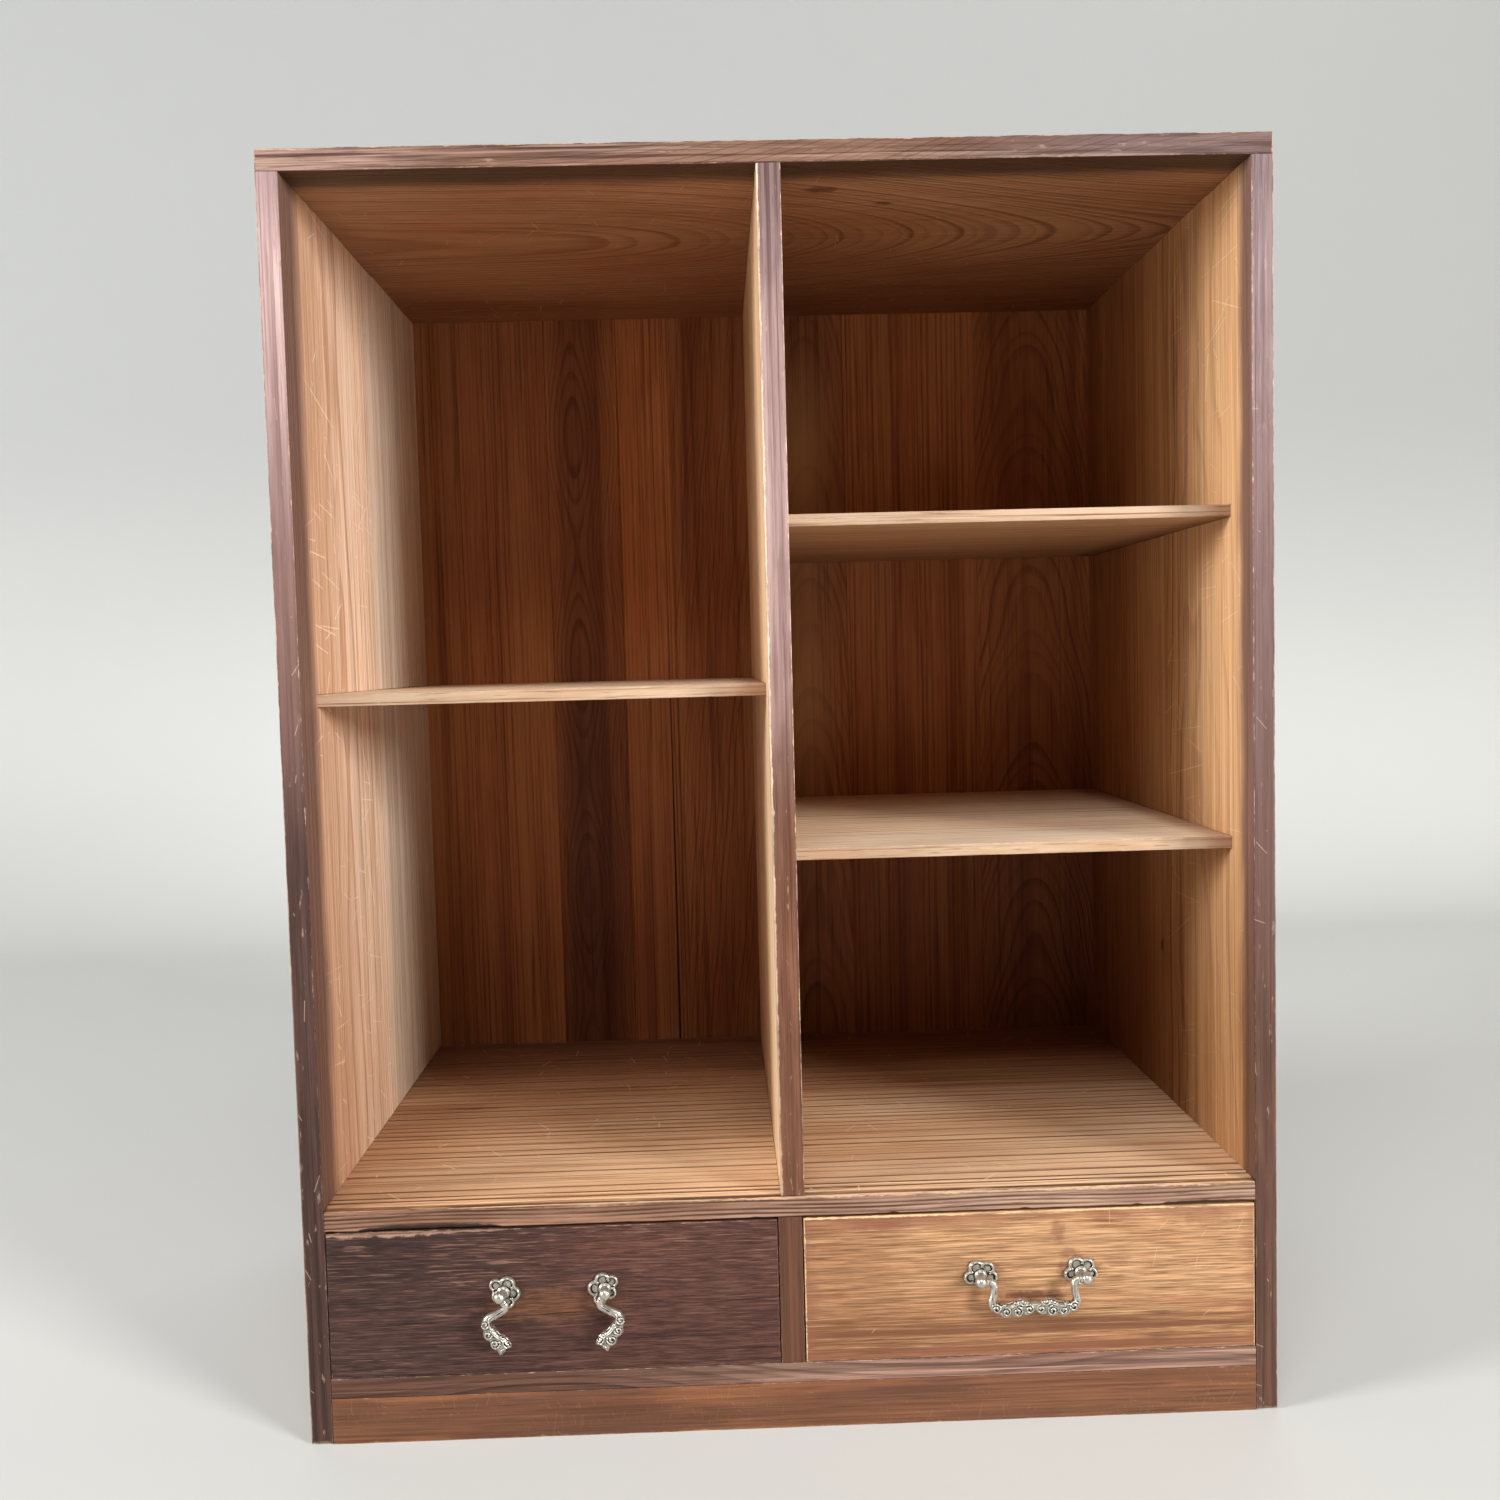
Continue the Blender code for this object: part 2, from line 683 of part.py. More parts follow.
def build_broken_pull(drawer, word):
    """Each half hangs by its own weight, so its post has turned in the drawer front."""
    for sign, side in ((-1, "left"), (1, "right")):
        name = f"{word}_drawer_{side}_"
        place_at = (sign * PULL_PITCH / 2, -PIVOT_OUT, PULL_Z)
        axis = axis_empty(name + "shank_axis", place_at, drawer, -sign * BROKEN_TURN)
        build_rosette(name + "rosette", axis)
        build_post(name + "post", axis, -sign)
        build_half_bail(name + "half_bail", axis_empty(name + "pin_axis", (0.0, 0.0, 0.0), axis), sign)


def build_drawer(word, left, right, look):
    """A drawer in its own frame: x from its middle, y back from the front face, z up from its underside."""
    drawer = axis_empty(word + "_drawer_slide", ((left + right) / 2, FRONT_Y, BOTTOM_Z + FIT))
    x = (right - left) / 2 - DRAWER_SIDE_GAP
    front_top = DRAWER_OPENING_H - FIT - DRAWER_TOP_GAP
    side_top = front_top - DRAWER_SIDE_DROP
    end = SEAT_Y - FRONT_Y - DRAWER_REAR_GAP
    lap = DRAWER_FRONT_T - FRONT_LAP
    inset = x - DRAWER_SIDE_T - FIT
    low = DRAWER_BOTTOM_T + FIT
    outline = [
        (-x, 0.0), (x, 0.0), (x, lap), (inset, lap),
        (inset, DRAWER_FRONT_T), (-inset, DRAWER_FRONT_T), (-inset, lap), (-x, lap),
    ]
    front = board(word + "_drawer_front", outline, "Z", 0.0, front_top, look, drawer)
    rabbet = box_cutter(
        word + "_front_rabbet",
        [((-x - OVERCUT, lap, -OVERCUT), (x + OVERCUT, DRAWER_FRONT_T + OVERCUT, low))],
        drawer,
    )
    holes = []
    for sign, side in ((-1, "left"), (1, "right")):
        hole = turned(
            f"{word}_front_{side}_hole",
            [(-OVERCUT, SHANK_R + FIT), (DRAWER_FRONT_T + OVERCUT, SHANK_R + FIT)],
            "Y", TURNED_SIDES, drawer,
        )
        hole.location = (sign * PULL_PITCH / 2, 0.0, PULL_Z)
        holes.append(guide(hole))
    combine(front, "DIFFERENCE", rabbet, *holes)
    back_end = DRAWER_SIDE_T / 2
    for sign, side in ((-1, "left"), (1, "right")):
        outer, inner, step = sign * x, sign * (x - DRAWER_SIDE_T), sign * (x - back_end)
        corner = end - DRAWER_BACK_T - FIT
        outline = [
            (outer, lap + FIT), (outer, end), (step, end),
            (step, corner), (inner, corner), (inner, lap + FIT),
        ]
        board(f"{word}_drawer_{side}_side", outline, "Z", low, side_top, PALE_CEDAR, drawer)
    reach = x - back_end - FIT
    block(
        word + "_drawer_back",
        (-reach, end - DRAWER_BACK_T, low), (reach, end, side_top), PALE_CEDAR, drawer,
    )
    block(
        word + "_drawer_bottom",
        (-x, lap + FIT, 0.0), (x, end, DRAWER_BOTTOM_T), PALE_CEDAR, drawer,
    )
    return drawer


clear_scene()
build_sides()
build_top()
build_stile_and_levels()
build_divider()
build_shelves()
build_back()
left_drawer = build_drawer("left", -INNER, STILE_X - STILE_W / 2, DARK_FRONT)
right_drawer = build_drawer("right", STILE_X + STILE_W / 2, INNER, TAN_FRONT)
build_broken_pull(left_drawer, "left")
build_whole_pull(right_drawer, "right")
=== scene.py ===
"""Looks of the two-bay cedar tansu: worn boards, cast scroll pulls, procedural cedar, soft studio light."""
import json
from collections import namedtuple
from math import atan2, cos, pi, radians, sin, tau

import bmesh
import bpy
import numpy as np
from mathutils import Matrix, Vector, noise
from mathutils.bvhtree import BVHTree


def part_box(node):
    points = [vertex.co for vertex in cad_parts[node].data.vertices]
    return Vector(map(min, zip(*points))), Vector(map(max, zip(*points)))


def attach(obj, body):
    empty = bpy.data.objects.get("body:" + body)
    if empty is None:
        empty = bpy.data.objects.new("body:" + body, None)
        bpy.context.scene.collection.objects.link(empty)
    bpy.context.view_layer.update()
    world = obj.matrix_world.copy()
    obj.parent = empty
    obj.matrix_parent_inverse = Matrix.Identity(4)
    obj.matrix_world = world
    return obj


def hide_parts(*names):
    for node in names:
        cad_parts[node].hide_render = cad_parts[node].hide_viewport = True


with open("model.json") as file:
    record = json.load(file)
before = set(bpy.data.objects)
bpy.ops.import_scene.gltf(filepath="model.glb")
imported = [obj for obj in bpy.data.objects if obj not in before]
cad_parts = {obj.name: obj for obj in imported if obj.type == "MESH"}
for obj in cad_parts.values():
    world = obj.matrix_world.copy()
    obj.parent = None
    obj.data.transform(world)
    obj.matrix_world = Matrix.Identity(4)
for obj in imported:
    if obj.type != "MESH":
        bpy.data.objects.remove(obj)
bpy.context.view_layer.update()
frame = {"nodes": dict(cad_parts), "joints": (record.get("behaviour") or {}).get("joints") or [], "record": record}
NODES = frame["nodes"]
BODY_OF = {n: body for body, names in frame["record"]["behaviour"]["bodies"].items() for n in names}
JOINTS = {joint["name"]: joint for joint in frame["joints"]}

# Places read from the frame
TOP_LOW, TOP_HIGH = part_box("top_front_plank")
FRONT = TOP_LOW.y
LEFT, RIGHT = TOP_LOW.x, TOP_HIGH.x
UNDER_TOP = TOP_LOW.z
FLOOR_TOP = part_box("floor_front_plank")[1].z
BACK_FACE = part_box("back_plank_1")[0].y
BAIL_X, _, PULL_Z = JOINTS["right_bail_swing"]["pos_m"]
POSTS = [JOINTS[f"left_pull_{side}_post_turn"]["pos_m"] for side in ("left", "right")]

# Cuts of a worn board: depths along an arris, step of the slices, depth of the strip behind the front
ROWS = (0.0003, 0.0007, 0.0012, 0.0019, 0.0028)
CHIP_ROWS = (0.0004, 0.001, 0.0018, 0.0028, 0.004, 0.0055, 0.007)
SLICE = 0.0035
FRONT_ZONE = 0.009

# Wear: the least radius, the radius that is rubbed bare, how far the rub goes on beyond the rounding, and
# from which radius torn wood is rough by which share of it
LEAST_RADIUS = 0.00035
BARE_RADIUS = 0.0014
RUB_REACH = 1.2
ROUGH_RADIUS, ROUGH_SHARE = 0.0015, 0.12
EASED = 0.0005
TINY = 1e-6

X, Y, Z = range(3)

# Tones, as seen on screen
WORN_PALE = (214, 182, 158)
SCRATCH = (252, 230, 202)
STAIN = ((112, 80, 66), (92, 63, 52), (66, 43, 36))
STAIN_RUBBED = ((140, 106, 90), (116, 84, 71), (84, 57, 47))


def srgb(red, green, blue):
    """A screen colour, 0 to 255, as linear light."""
    light = []
    for value in (red / 255, green / 255, blue / 255):
        light.append(value / 12.92 if value <= 0.04045 else ((value + 0.055) / 1.055) ** 2.4)
    return (*light, 1.0)


def scaled(tone, share):
    """A tone made darker or paler."""
    return tuple(min(255, value * share) for value in tone)


class Graph:
    """A material's nodes. A call adds the nodes that it needs and gives their output."""

    def __init__(self, name):
        self.material = bpy.data.materials.new(name)
        self.material.use_nodes = True
        self.tree = self.material.node_tree
        self.shader = self.tree.nodes["Principled BSDF"]
        self.point = self.node("ShaderNodeTexCoord").outputs["Object"]
        self.x, self.y, self.z = self.node("ShaderNodeSeparateXYZ", self.point).outputs

    def feed(self, socket, value):
        if isinstance(value, bpy.types.NodeSocket):
            self.tree.links.new(value, socket)
        else:
            socket.default_value = value

    def node(self, kind, *values, named=None, **settings):
        """A node with its first inputs in order, others by name, and its settings."""
        node = self.tree.nodes.new(kind)
        for key, value in settings.items():
            setattr(node, key, value)
        for socket, value in zip(node.inputs, values):
            self.feed(socket, value)
        for key, value in (named or {}).items():
            self.feed(node.inputs[key], value)
        return node

    def math(self, operation, *values):
        return self.node("ShaderNodeMath", *values, operation=operation).outputs[0]

    def ease(self, value, low, high, start=0.0, end=1.0):
        """A smooth change from start to end while value goes from low to high."""
        node = self.node(
            "ShaderNodeMapRange", value, low, high, start, end, interpolation_type="SMOOTHSTEP"
        )
        return node.outputs[0]

    def times(self, *values):
        product = values[0]
        for value in values[1:]:
            product = self.math("MULTIPLY", product, value)
        return product

    def apart(self, value, place):
        """Distance of a value from a place."""
        return self.math("ABSOLUTE", self.math("SUBTRACT", value, place))

    def length(self, *sides):
        flat = self.node("ShaderNodeCombineXYZ", *sides).outputs[0]
        return self.node("ShaderNodeVectorMath", flat, operation="LENGTH").outputs["Value"]

    def shaken(self, value, cloud, size):
        """A value that a noise pushes up and down over a range of this size."""
        return self.math("MULTIPLY_ADD", self.math("SUBTRACT", cloud, 0.5), size, value)

    def stretch(self, scale, offset=0.0):
        """The point with each axis scaled, moved to another part of a noise."""
        moved = (offset, offset * 1.7, offset * 0.6)
        node = self.node("ShaderNodeVectorMath", self.point, scale, moved, operation="MULTIPLY_ADD")
        return node.outputs[0]

    def noise(self, vector, detail=2.0, roughness=0.5):
        inputs = {"Vector": vector, "Scale": 1.0, "Detail": detail, "Roughness": roughness}
        return self.node("ShaderNodeTexNoise", named=inputs).outputs[0]

    def patches(self, scale, seed, low, high, amount=1.0):
        """A mask of soft patches."""
        return self.ease(self.noise(self.stretch(scale, seed)), low, high, 0.0, amount)

    def mix(self, factor, under, over, blend="MIX"):
        node = self.node("ShaderNodeMix", data_type="RGBA", blend_type=blend, clamp_result=True)
        for place, value in ((0, factor), (6, under), (7, over)):
            self.feed(node.inputs[place], value)
        return node.outputs[2]

    def attribute(self, name):
        return self.node("ShaderNodeAttribute", attribute_name=name).outputs["Fac"]

    def bump(self, height, distance, strength=1.0):
        inputs = {"Strength": strength, "Distance": distance, "Height": height}
        node = self.node("ShaderNodeBump", named=inputs)
        self.feed(self.shader.inputs["Normal"], node.outputs[0])

    def paint(self, colour):
        self.feed(self.shader.inputs["Base Color"], colour)
        return self.material


class Cedar(Graph):
    """Wood of a board sawn from a log: year rings round a pith line that runs along one axis.

    tones are the early wood, its patches and the late wood. pith is the line's place on the other two axes,
    year the width of a ring, lean how fast the rings drift along the board and sway a slow bend of that
    drift as (size, length of a wave, start). wander and wave are the size and the pace of its crooked lines,
    lines is how strong the late wood shows and start the share of a year at which it begins.
    """

    def __init__(
        self, name, run, pith, year, tones, lean=0.0, sway=None, wander=0.003, wave=1.6, seed=0.0, lines=1.0,
        start=0.25,
    ):
        super().__init__(name)
        self.run = run
        self.seed = seed
        along, first, second = {
            "X": (self.x, self.y, self.z), "Y": (self.y, self.x, self.z), "Z": (self.z, self.x, self.y)
        }[run]
        radius = self.length(
            self.math("SUBTRACT", first, pith[0]), self.math("SUBTRACT", second, pith[1])
        )
        radius = self.math("MULTIPLY_ADD", along, lean, radius)
        if sway:
            size, length, phase = sway
            turn = self.math("SINE", self.math("MULTIPLY_ADD", along, tau / length, phase))
            radius = self.math("MULTIPLY_ADD", turn, size, radius)
        radius = self.shaken(radius, self.noise(self.grain(wave, 11.0)), 2 * wander)
        years = self.math("DIVIDE", radius, year)
        pace = {"W": self.math("MULTIPLY", years, 0.37), "Scale": 1.0}
        uneven = self.node("ShaderNodeTexNoise", named=pace, noise_dimensions="1D")
        years = self.math("MULTIPLY_ADD", uneven.outputs[0], 1.6, years)
        phase = self.math("FRACT", years)
        whole = {"W": self.math("FLOOR", years)}
        luck = self.node("ShaderNodeTexWhiteNoise", named=whole, noise_dimensions="1D")
        strength = self.ease(luck.outputs["Value"], 0.0, 1.0, 0.35, 1.0)
        self.late = self.times(
            self.ease(phase, start, 0.86), self.ease(phase, 0.9, 1.0, 1.0, 0.0), strength
        )
        self.fibre = self.noise(self.grain(16.0, 560.0), 3.0, 0.6)
        early, patch, late = tones
        patches = self.cloud(3.0, 12.0, 0.38, 0.66, roughness=0.55)
        colour = self.mix(patches, srgb(*early), srgb(*patch))
        colour = self.mix(self.times(self.late, lines), colour, srgb(*late))
        streak = self.ease(self.fibre, 0.48, 0.8, 0.0, 0.5)
        self.colour = self.mix(streak, colour, srgb(*scaled(late, 0.72)))
        self.streaks((scaled(early, 1.07), 20.0, 620.0, 0.52, 0.68, 0.4, 2.0))

    def grain(self, along, across, seed=0.0):
        scale = [across, across, across]
        scale["XYZ".index(self.run)] = along
        return self.stretch(tuple(scale), self.seed + seed)

    def cloud(self, along, across, low, high, amount=1.0, seed=0.0, roughness=0.6):
        """A mask of streaks or clouds: noise drawn out along the grain and cut between two levels."""
        return self.ease(self.noise(self.grain(along, across, seed), 3.0, roughness), low, high, 0.0, amount)

    def cover(self, mask, tone):
        """Paint a tone over the wood where the mask is 1."""
        self.colour = self.mix(mask, self.colour, srgb(*tone))

    def streaks(self, *rows):
        """Streaks or clouds of other tones. A row has the tone and then what cloud takes."""
        for tone, *shape in rows:
            self.cover(self.cloud(*shape), tone)

    def darken(self, mask, tone):
        self.colour = self.mix(mask, self.colour, srgb(*tone), "MULTIPLY")

    def flecked(self, amount, along=3.0, across=420.0):
        """Fine lines or flecks along the grain, as much darker as paler than the wood around them."""
        fine = self.noise(self.grain(along, across, 17.0), 2.0, 0.7)
        shade = self.ease(fine, 0.36, 0.64, 1 - amount, 1 + amount)
        self.colour = self.mix(1.0, self.colour, shade, "MULTIPLY")

    def depth(self):
        """Distance behind the front plane."""
        return self.math("SUBTRACT", self.y, FRONT)

    def behind(self, low, high, start=0.0, end=1.0):
        """A smooth change between two distances behind the front plane."""
        return self.ease(self.depth(), low, high, start, end)

    def stain_band(self, reach, tone, amount):
        """Finish that was carried round the front arris onto an inner face and thins out behind it."""
        uneven = self.noise(self.grain(14.0, 40.0), 3.0)
        edge = self.math("MULTIPLY_ADD", uneven, 0.016, self.math("SUBTRACT", self.depth(), 0.008))
        self.cover(self.ease(edge, reach * 0.45, reach, amount, 0.0), tone)

    def near(self, axis, place, reach=0.0016):
        """A mask of the face that lies at a place on an axis."""
        away = self.apart(getattr(self, axis), place)
        return self.ease(away, reach * 0.25, reach, 1.0, 0.0)

    def finish(self, face, high, low, share, streaks=0.75):
        """Old finish on a face. high and low are (light, dark, thread) tones, mixed by share."""
        light, dark, thread = (self.mix(share, srgb(*a), srgb(*b)) for a, b in zip(low, high))
        tone = self.mix(self.cloud(9.0, 130.0, 0.36, 0.64, 1.0, 0.0, 0.65), light, dark)
        tone = self.mix(self.cloud(3.0, 430.0, 0.53, 0.66, streaks, 1.0), tone, thread)
        tone = self.mix(self.cloud(30.0, 620.0, 0.57, 0.68, 0.5, 3.0), tone, thread)
        nicks = self.cloud(60.0, 260.0, 0.64, 0.72, 0.28, 5.0)
        self.colour = self.mix(face, self.colour, self.mix(nicks, tone, srgb(*WORN_PALE)))

    def front_face(self, high, low, share, streaks=0.75):
        self.finish(self.near("y", FRONT), high, low, share, streaks)

    def stained(self, rubbed, *faces):
        """The dark finish of outside faces, each given as (axis, place)."""
        for axis, place in faces:
            self.finish(self.near(axis, place), STAIN_RUBBED, STAIN, rubbed)

    def blend_along(self, value, low, high, ragged=0.25):
        """A share that goes from 0 to 1 along an axis with a ragged front."""
        uneven = self.noise(self.stretch((26.0, 26.0, 5.0), self.seed + 9), 3.0, 0.6)
        return self.ease(self.shaken(value, uneven, ragged * 2), low, high)

    def worn(self, tone, amount=0.9):
        """Bare pale wood where an arris is rubbed or chipped."""
        rub = self.noise(self.stretch((170.0, 170.0, 170.0), self.seed), 3.0, 0.6)
        wear = self.shaken(self.attribute("wear"), rub, 1.3)
        fibres = self.cloud(24.0, 480.0, 0.46, 0.64, 1.0, 4.0)
        torn_wood_and_gap_shadow = self.mix(fibres, srgb(*tone), srgb(*scaled(tone, 0.7)))
        self.colour = self.mix(self.times(self.ease(wear, 0.32, 0.72), amount), self.colour, torn_wood_and_gap_shadow)

    def grooved(self, tone):
        self.cover(self.ease(self.attribute("groove"), 0.2, 0.75, 0.0, 0.9), tone)

    def scratches(self, face, cell, length, width, tone, where, seed, draw=1.0):
        """Short straight scratches, one to a cell, turned at random and drawn out along the first axis.

        face names the two axes of the surface.
        """
        u, v = (getattr(self, axis) for axis in face)
        flat = self.node(
            "ShaderNodeCombineXYZ",
            self.math("MULTIPLY_ADD", u, 1 / cell / draw, seed),
            self.math("MULTIPLY_ADD", v, 1 / cell, seed * 2.3),
        ).outputs[0]
        inputs = {"Vector": flat, "Scale": 1.0}
        cells = self.node("ShaderNodeTexVoronoi", named=inputs, voronoi_dimensions="2D")
        offset = self.node("ShaderNodeVectorMath", flat, cells.outputs["Position"], operation="SUBTRACT")
        luck = self.node("ShaderNodeSeparateColor", cells.outputs["Color"]).outputs
        inputs = {"Vector": offset.outputs[0], "Angle": self.math("MULTIPLY", luck[0], 2.6)}
        turned = self.node("ShaderNodeVectorRotate", named=inputs, rotation_type="Z_AXIS")
        s, t, _ = self.node("ShaderNodeSeparateXYZ", turned.outputs[0]).outputs
        thin = self.ease(self.math("ABSOLUTE", t), 0.3 * width / cell, width / cell, 1.0, 0.0)
        reach = self.math("MULTIPLY", luck[1], length / cell)
        short = self.math("LESS_THAN", self.math("ABSOLUTE", s), reach)
        there = self.math("GREATER_THAN", luck[2], 0.35)
        self.cover(self.times(thin, short, there, where), tone)

    def rim(self, low, high, reach, amount):
        """A ragged mask along the four edges of a front."""
        edges = []
        for value, start, end in ((self.x, low.x, high.x), (self.z, low.z, high.z)):
            edges += [self.math("SUBTRACT", value, start), self.math("SUBTRACT", end, value)]
        away = edges[0]
        for edge in edges[1:]:
            away = self.math("MINIMUM", away, edge)
        uneven = self.noise(self.grain(18.0, 70.0, 6.0), 3.0, 0.65)
        return self.ease(self.shaken(away, uneven, reach * 3), 0.0, reach, amount, 0.0)

    def spot(self, face, centre, size, tone, amount=0.8):
        """A knot or stain: a soft oval with a ragged edge."""
        shares = []
        for axis, middle, half in zip(face, centre, size):
            shares.append(self.math("DIVIDE", self.math("SUBTRACT", getattr(self, axis), middle), half))
        ragged = self.noise(self.stretch((150.0, 150.0, 150.0), self.seed + 3), 2.0)
        reach = self.math("ADD", self.length(*shares), ragged)
        self.cover(self.ease(reach, 0.75, 1.4, amount, 0.0), tone)

    def done(self, relief=0.0004, smooth=0.46, rough=0.7, gloss=0.25):
        """Raised grain, sheen that follows it, and the colour."""
        height = self.math("MULTIPLY_ADD", self.fibre, 0.5, self.late)
        self.bump(height, relief)
        self.feed(self.shader.inputs["Roughness"], self.ease(self.fibre, 0.3, 0.75, smooth, rough))
        self.shader.inputs["Specular IOR Level"].default_value = gloss
        return self.paint(self.colour)


def polygons(node):
    """A CAD node's mesh as one skin of whole polygons."""
    mesh = NODES[node].data
    bm = bmesh.new()
    points = [bm.verts.new(vertex.co) for vertex in mesh.vertices]
    for polygon in mesh.polygons:
        bm.faces.new([points[k] for k in polygon.vertices])
    bmesh.ops.remove_doubles(bm, verts=bm.verts, dist=TINY)
    return bm


def cut(bm, axis, value, zone):
    """Slice the faces whose middle lies in the zone with a plane across an axis."""
    normal = Vector()
    normal[axis] = 1.0
    faces = [face for face in bm.faces if zone(face.calc_center_median())]
    edges = {edge for face in faces for edge in face.edges}
    points = {point for face in faces for point in face.verts}
    bmesh.ops.bisect_plane(
        bm, geom=[*faces, *edges, *points], dist=1e-7, plane_co=normal * value, plane_no=normal
    )


def spaced(low, high, step):
    count = max(1, round((high - low) / step))
    return [low + (high - low) * k / count for k in range(1, count)]


class Wear(namedtuple("Wear", "base swing seed nicks chips rows", defaults=(0.0, (), ROWS))):
    """How an arris is worn: evenly with a swing, with small nicks, and with chips.

    A chip is (place, half length, size). rows are the depths at which the board is cut along the arris.
    """

    def radius(self, place):
        """Radius of the rounding at a place along the arris."""
        value = self.base + self.swing * noise.noise((place * 37.0, self.seed, 0.0))
        value += self.nicks * max(0.0, noise.noise((place * 160.0, self.seed, 5.0)) - 0.25)
        for centre, half, size in self.chips:
            share = max(0.0, 1 - ((place - centre) / half) ** 2)
            value += size * share**0.5 * (1 + 0.35 * noise.noise((place * 260.0, self.seed, 9.0)))
        return max(LEAST_RADIUS, value)


class Arris:
    """A worn edge where two flat faces meet, each given as (axis, place, inward)."""

    def __init__(self, first, second, wear):
        self.sides, self.wear = (first, second), wear
        self.along = 3 - first[0] - second[0]

    def cuts(self):
        """Planes that divide both faces into rows along the arris, as (axis, place)."""
        planes = set()
        for axis, place, inward in self.sides:
            planes |= {(axis, round(place + inward * row, 6)) for row in self.wear.rows}
        return planes

    def shift(self, place):
        """How far rounding moves a point, and how worn the point is."""
        depths = [(place[axis] - value) * inward for axis, value, inward in self.sides]
        radius = self.wear.radius(place[self.along])
        near, far = min(depths), max(depths)
        if abs(near) > TINY or far >= radius * RUB_REACH:
            return Vector(), 0.0
        worn = (1 - far / (radius * RUB_REACH)) * min(1.0, radius / BARE_RADIUS)
        if far >= radius:
            return Vector(), worn
        turn = pi / 4 * (1 - far / radius)
        deep, flat = radius * (1 - cos(turn)), radius * (1 - sin(turn))
        if radius > ROUGH_RADIUS:
            deep = max(0.0, deep + ROUGH_SHARE * radius * noise.noise(place * 900.0))
        targets = (deep, flat) if depths[0] <= depths[1] else (flat, deep)
        move = Vector()
        for (axis, _, inward), target, depth in zip(self.sides, targets, depths):
            move[axis] += (target - depth) * inward
        return move, worn


def settle(piece, node):
    """Put a piece in a CAD node's place."""
    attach(piece, BODY_OF[node])
    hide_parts(node)


def to_object(name, bm, material, values=None):
    """A mesh object from a bmesh, with per-point values as attributes."""
    bmesh.ops.recalc_face_normals(bm, faces=bm.faces)
    mesh = bpy.data.meshes.new(name)
    bm.to_mesh(mesh)
    bm.free()
    for key, numbers in (values or {}).items():
        mesh.attributes.new(key, "FLOAT", "POINT").data.foreach_set("value", numbers)
    mesh.materials.append(material)
    piece = bpy.data.objects.new(name, mesh)
    bpy.context.scene.collection.objects.link(piece)
    return piece


def ease_edges(piece, angle=70):
    """Round the edges that are sharper than an angle."""
    bevel = piece.modifiers.new("eased_edges", "BEVEL")
    bevel.width = EASED
    bevel.segments = 2
    bevel.limit_method = "ANGLE"
    bevel.angle_limit = radians(angle)


def faces(node):
    """The flat faces of a node's box by name, each as (axis, place, inward)."""
    low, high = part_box(node)
    return {
        "left": (X, low.x, 1), "right": (X, high.x, -1), "front": (Y, low.y, 1),
        "under": (Z, low.z, 1), "over": (Z, high.z, -1),
    }


def worn_board(node, material, along, edges, reach=FRONT_ZONE, step=SLICE, cuts=(), sculpt=None):
    """A board in place of a CAD node, with its arrises rounded and chipped in the strip behind the front.

    edges gives the wear of an arris under the names of its two faces.
    """
    low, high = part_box(node)
    named = faces(node)
    arrises = [Arris(*(named[word] for word in words.split()), wear) for words, wear in edges.items()]
    bm = polygons(node)
    bmesh.ops.dissolve_limit(bm, angle_limit=radians(0.5), verts=bm.verts, edges=bm.edges)

    def front_strip(place):
        return place.y < FRONT + reach

    cut(bm, Y, FRONT + reach, lambda place: True)
    for value in spaced(low[along], high[along], step):
        cut(bm, along, value, front_strip)
    for axis, value in sorted(set(cuts).union(*(arris.cuts() for arris in arrises))):
        cut(bm, axis, value, front_strip)
    moves, worn, groove = [], [], []
    for point in bm.verts:
        in_strip = point.co.y < FRONT + reach - TINY
        results = [arris.shift(point.co) for arris in arrises] if in_strip else []
        extra, hollow = sculpt(point.co) if sculpt else (Vector(), 0.0)
        moves.append(sum((move for move, _ in results), Vector()) + extra)
        worn.append(max((wear for _, wear in results), default=0.0))
        groove.append(hollow)
    for point, move in zip(bm.verts, moves):
        point.co += move
    piece = to_object(node + "_worn", bm, material, {"wear": worn, "groove": groove})
    ease_edges(piece)
    settle(piece, node)


def plain_board(node, material):
    """A board whose CAD shape stays: it gets its wood and eased edges."""
    piece = NODES[node]
    piece.data.materials.clear()
    piece.data.materials.append(material)
    weld = piece.modifiers.new("weld", "WELD")
    weld.merge_threshold = TINY
    ease_edges(piece, angle=40)


# Tones of one side: its front plank, the warm tone of that near the front and in patches, the painted shade that
# deepens it towards the rear, the rear plank, the front edge from high to low and where it turns, stain, the
# painted shade towards the bottom, and wear
SideLook = namedtuple(
    "SideLook", "word sign front warm shade rear high middle low turn band behind dim scratched"
)

SIDES = (
    SideLook(
        "left", -1,
        ((254, 224, 200), (248, 212, 184), (198, 152, 122)), (198, 148, 112), (250, 248, 246),
        ((254, 236, 216), (250, 228, 206), (196, 152, 124)),
        ((204, 174, 170), (182, 150, 147), (150, 116, 113)), (128, 94, 85),
        ((80, 55, 48), (64, 43, 37), (48, 30, 25)),
        (0.45, 0.84), (0.056, (108, 80, 72)), 0.06, (232, 226, 220), (0.65, 0.0008),
    ),
    SideLook(
        "right", 1,
        ((244, 204, 154), (232, 186, 134), (168, 122, 80)), (214, 164, 118), (206, 186, 166),
        ((194, 141, 98), (172, 119, 78), (105, 65, 38)),
        ((168, 144, 146), (142, 117, 118), (114, 89, 90)), (109, 78, 72),
        ((98, 68, 55), (81, 54, 43), (62, 39, 31)),
        (0.32, 0.86), (0.034, (120, 90, 80)), 0.2, (204, 190, 176), (0.4, 0.0005),
    ),
)


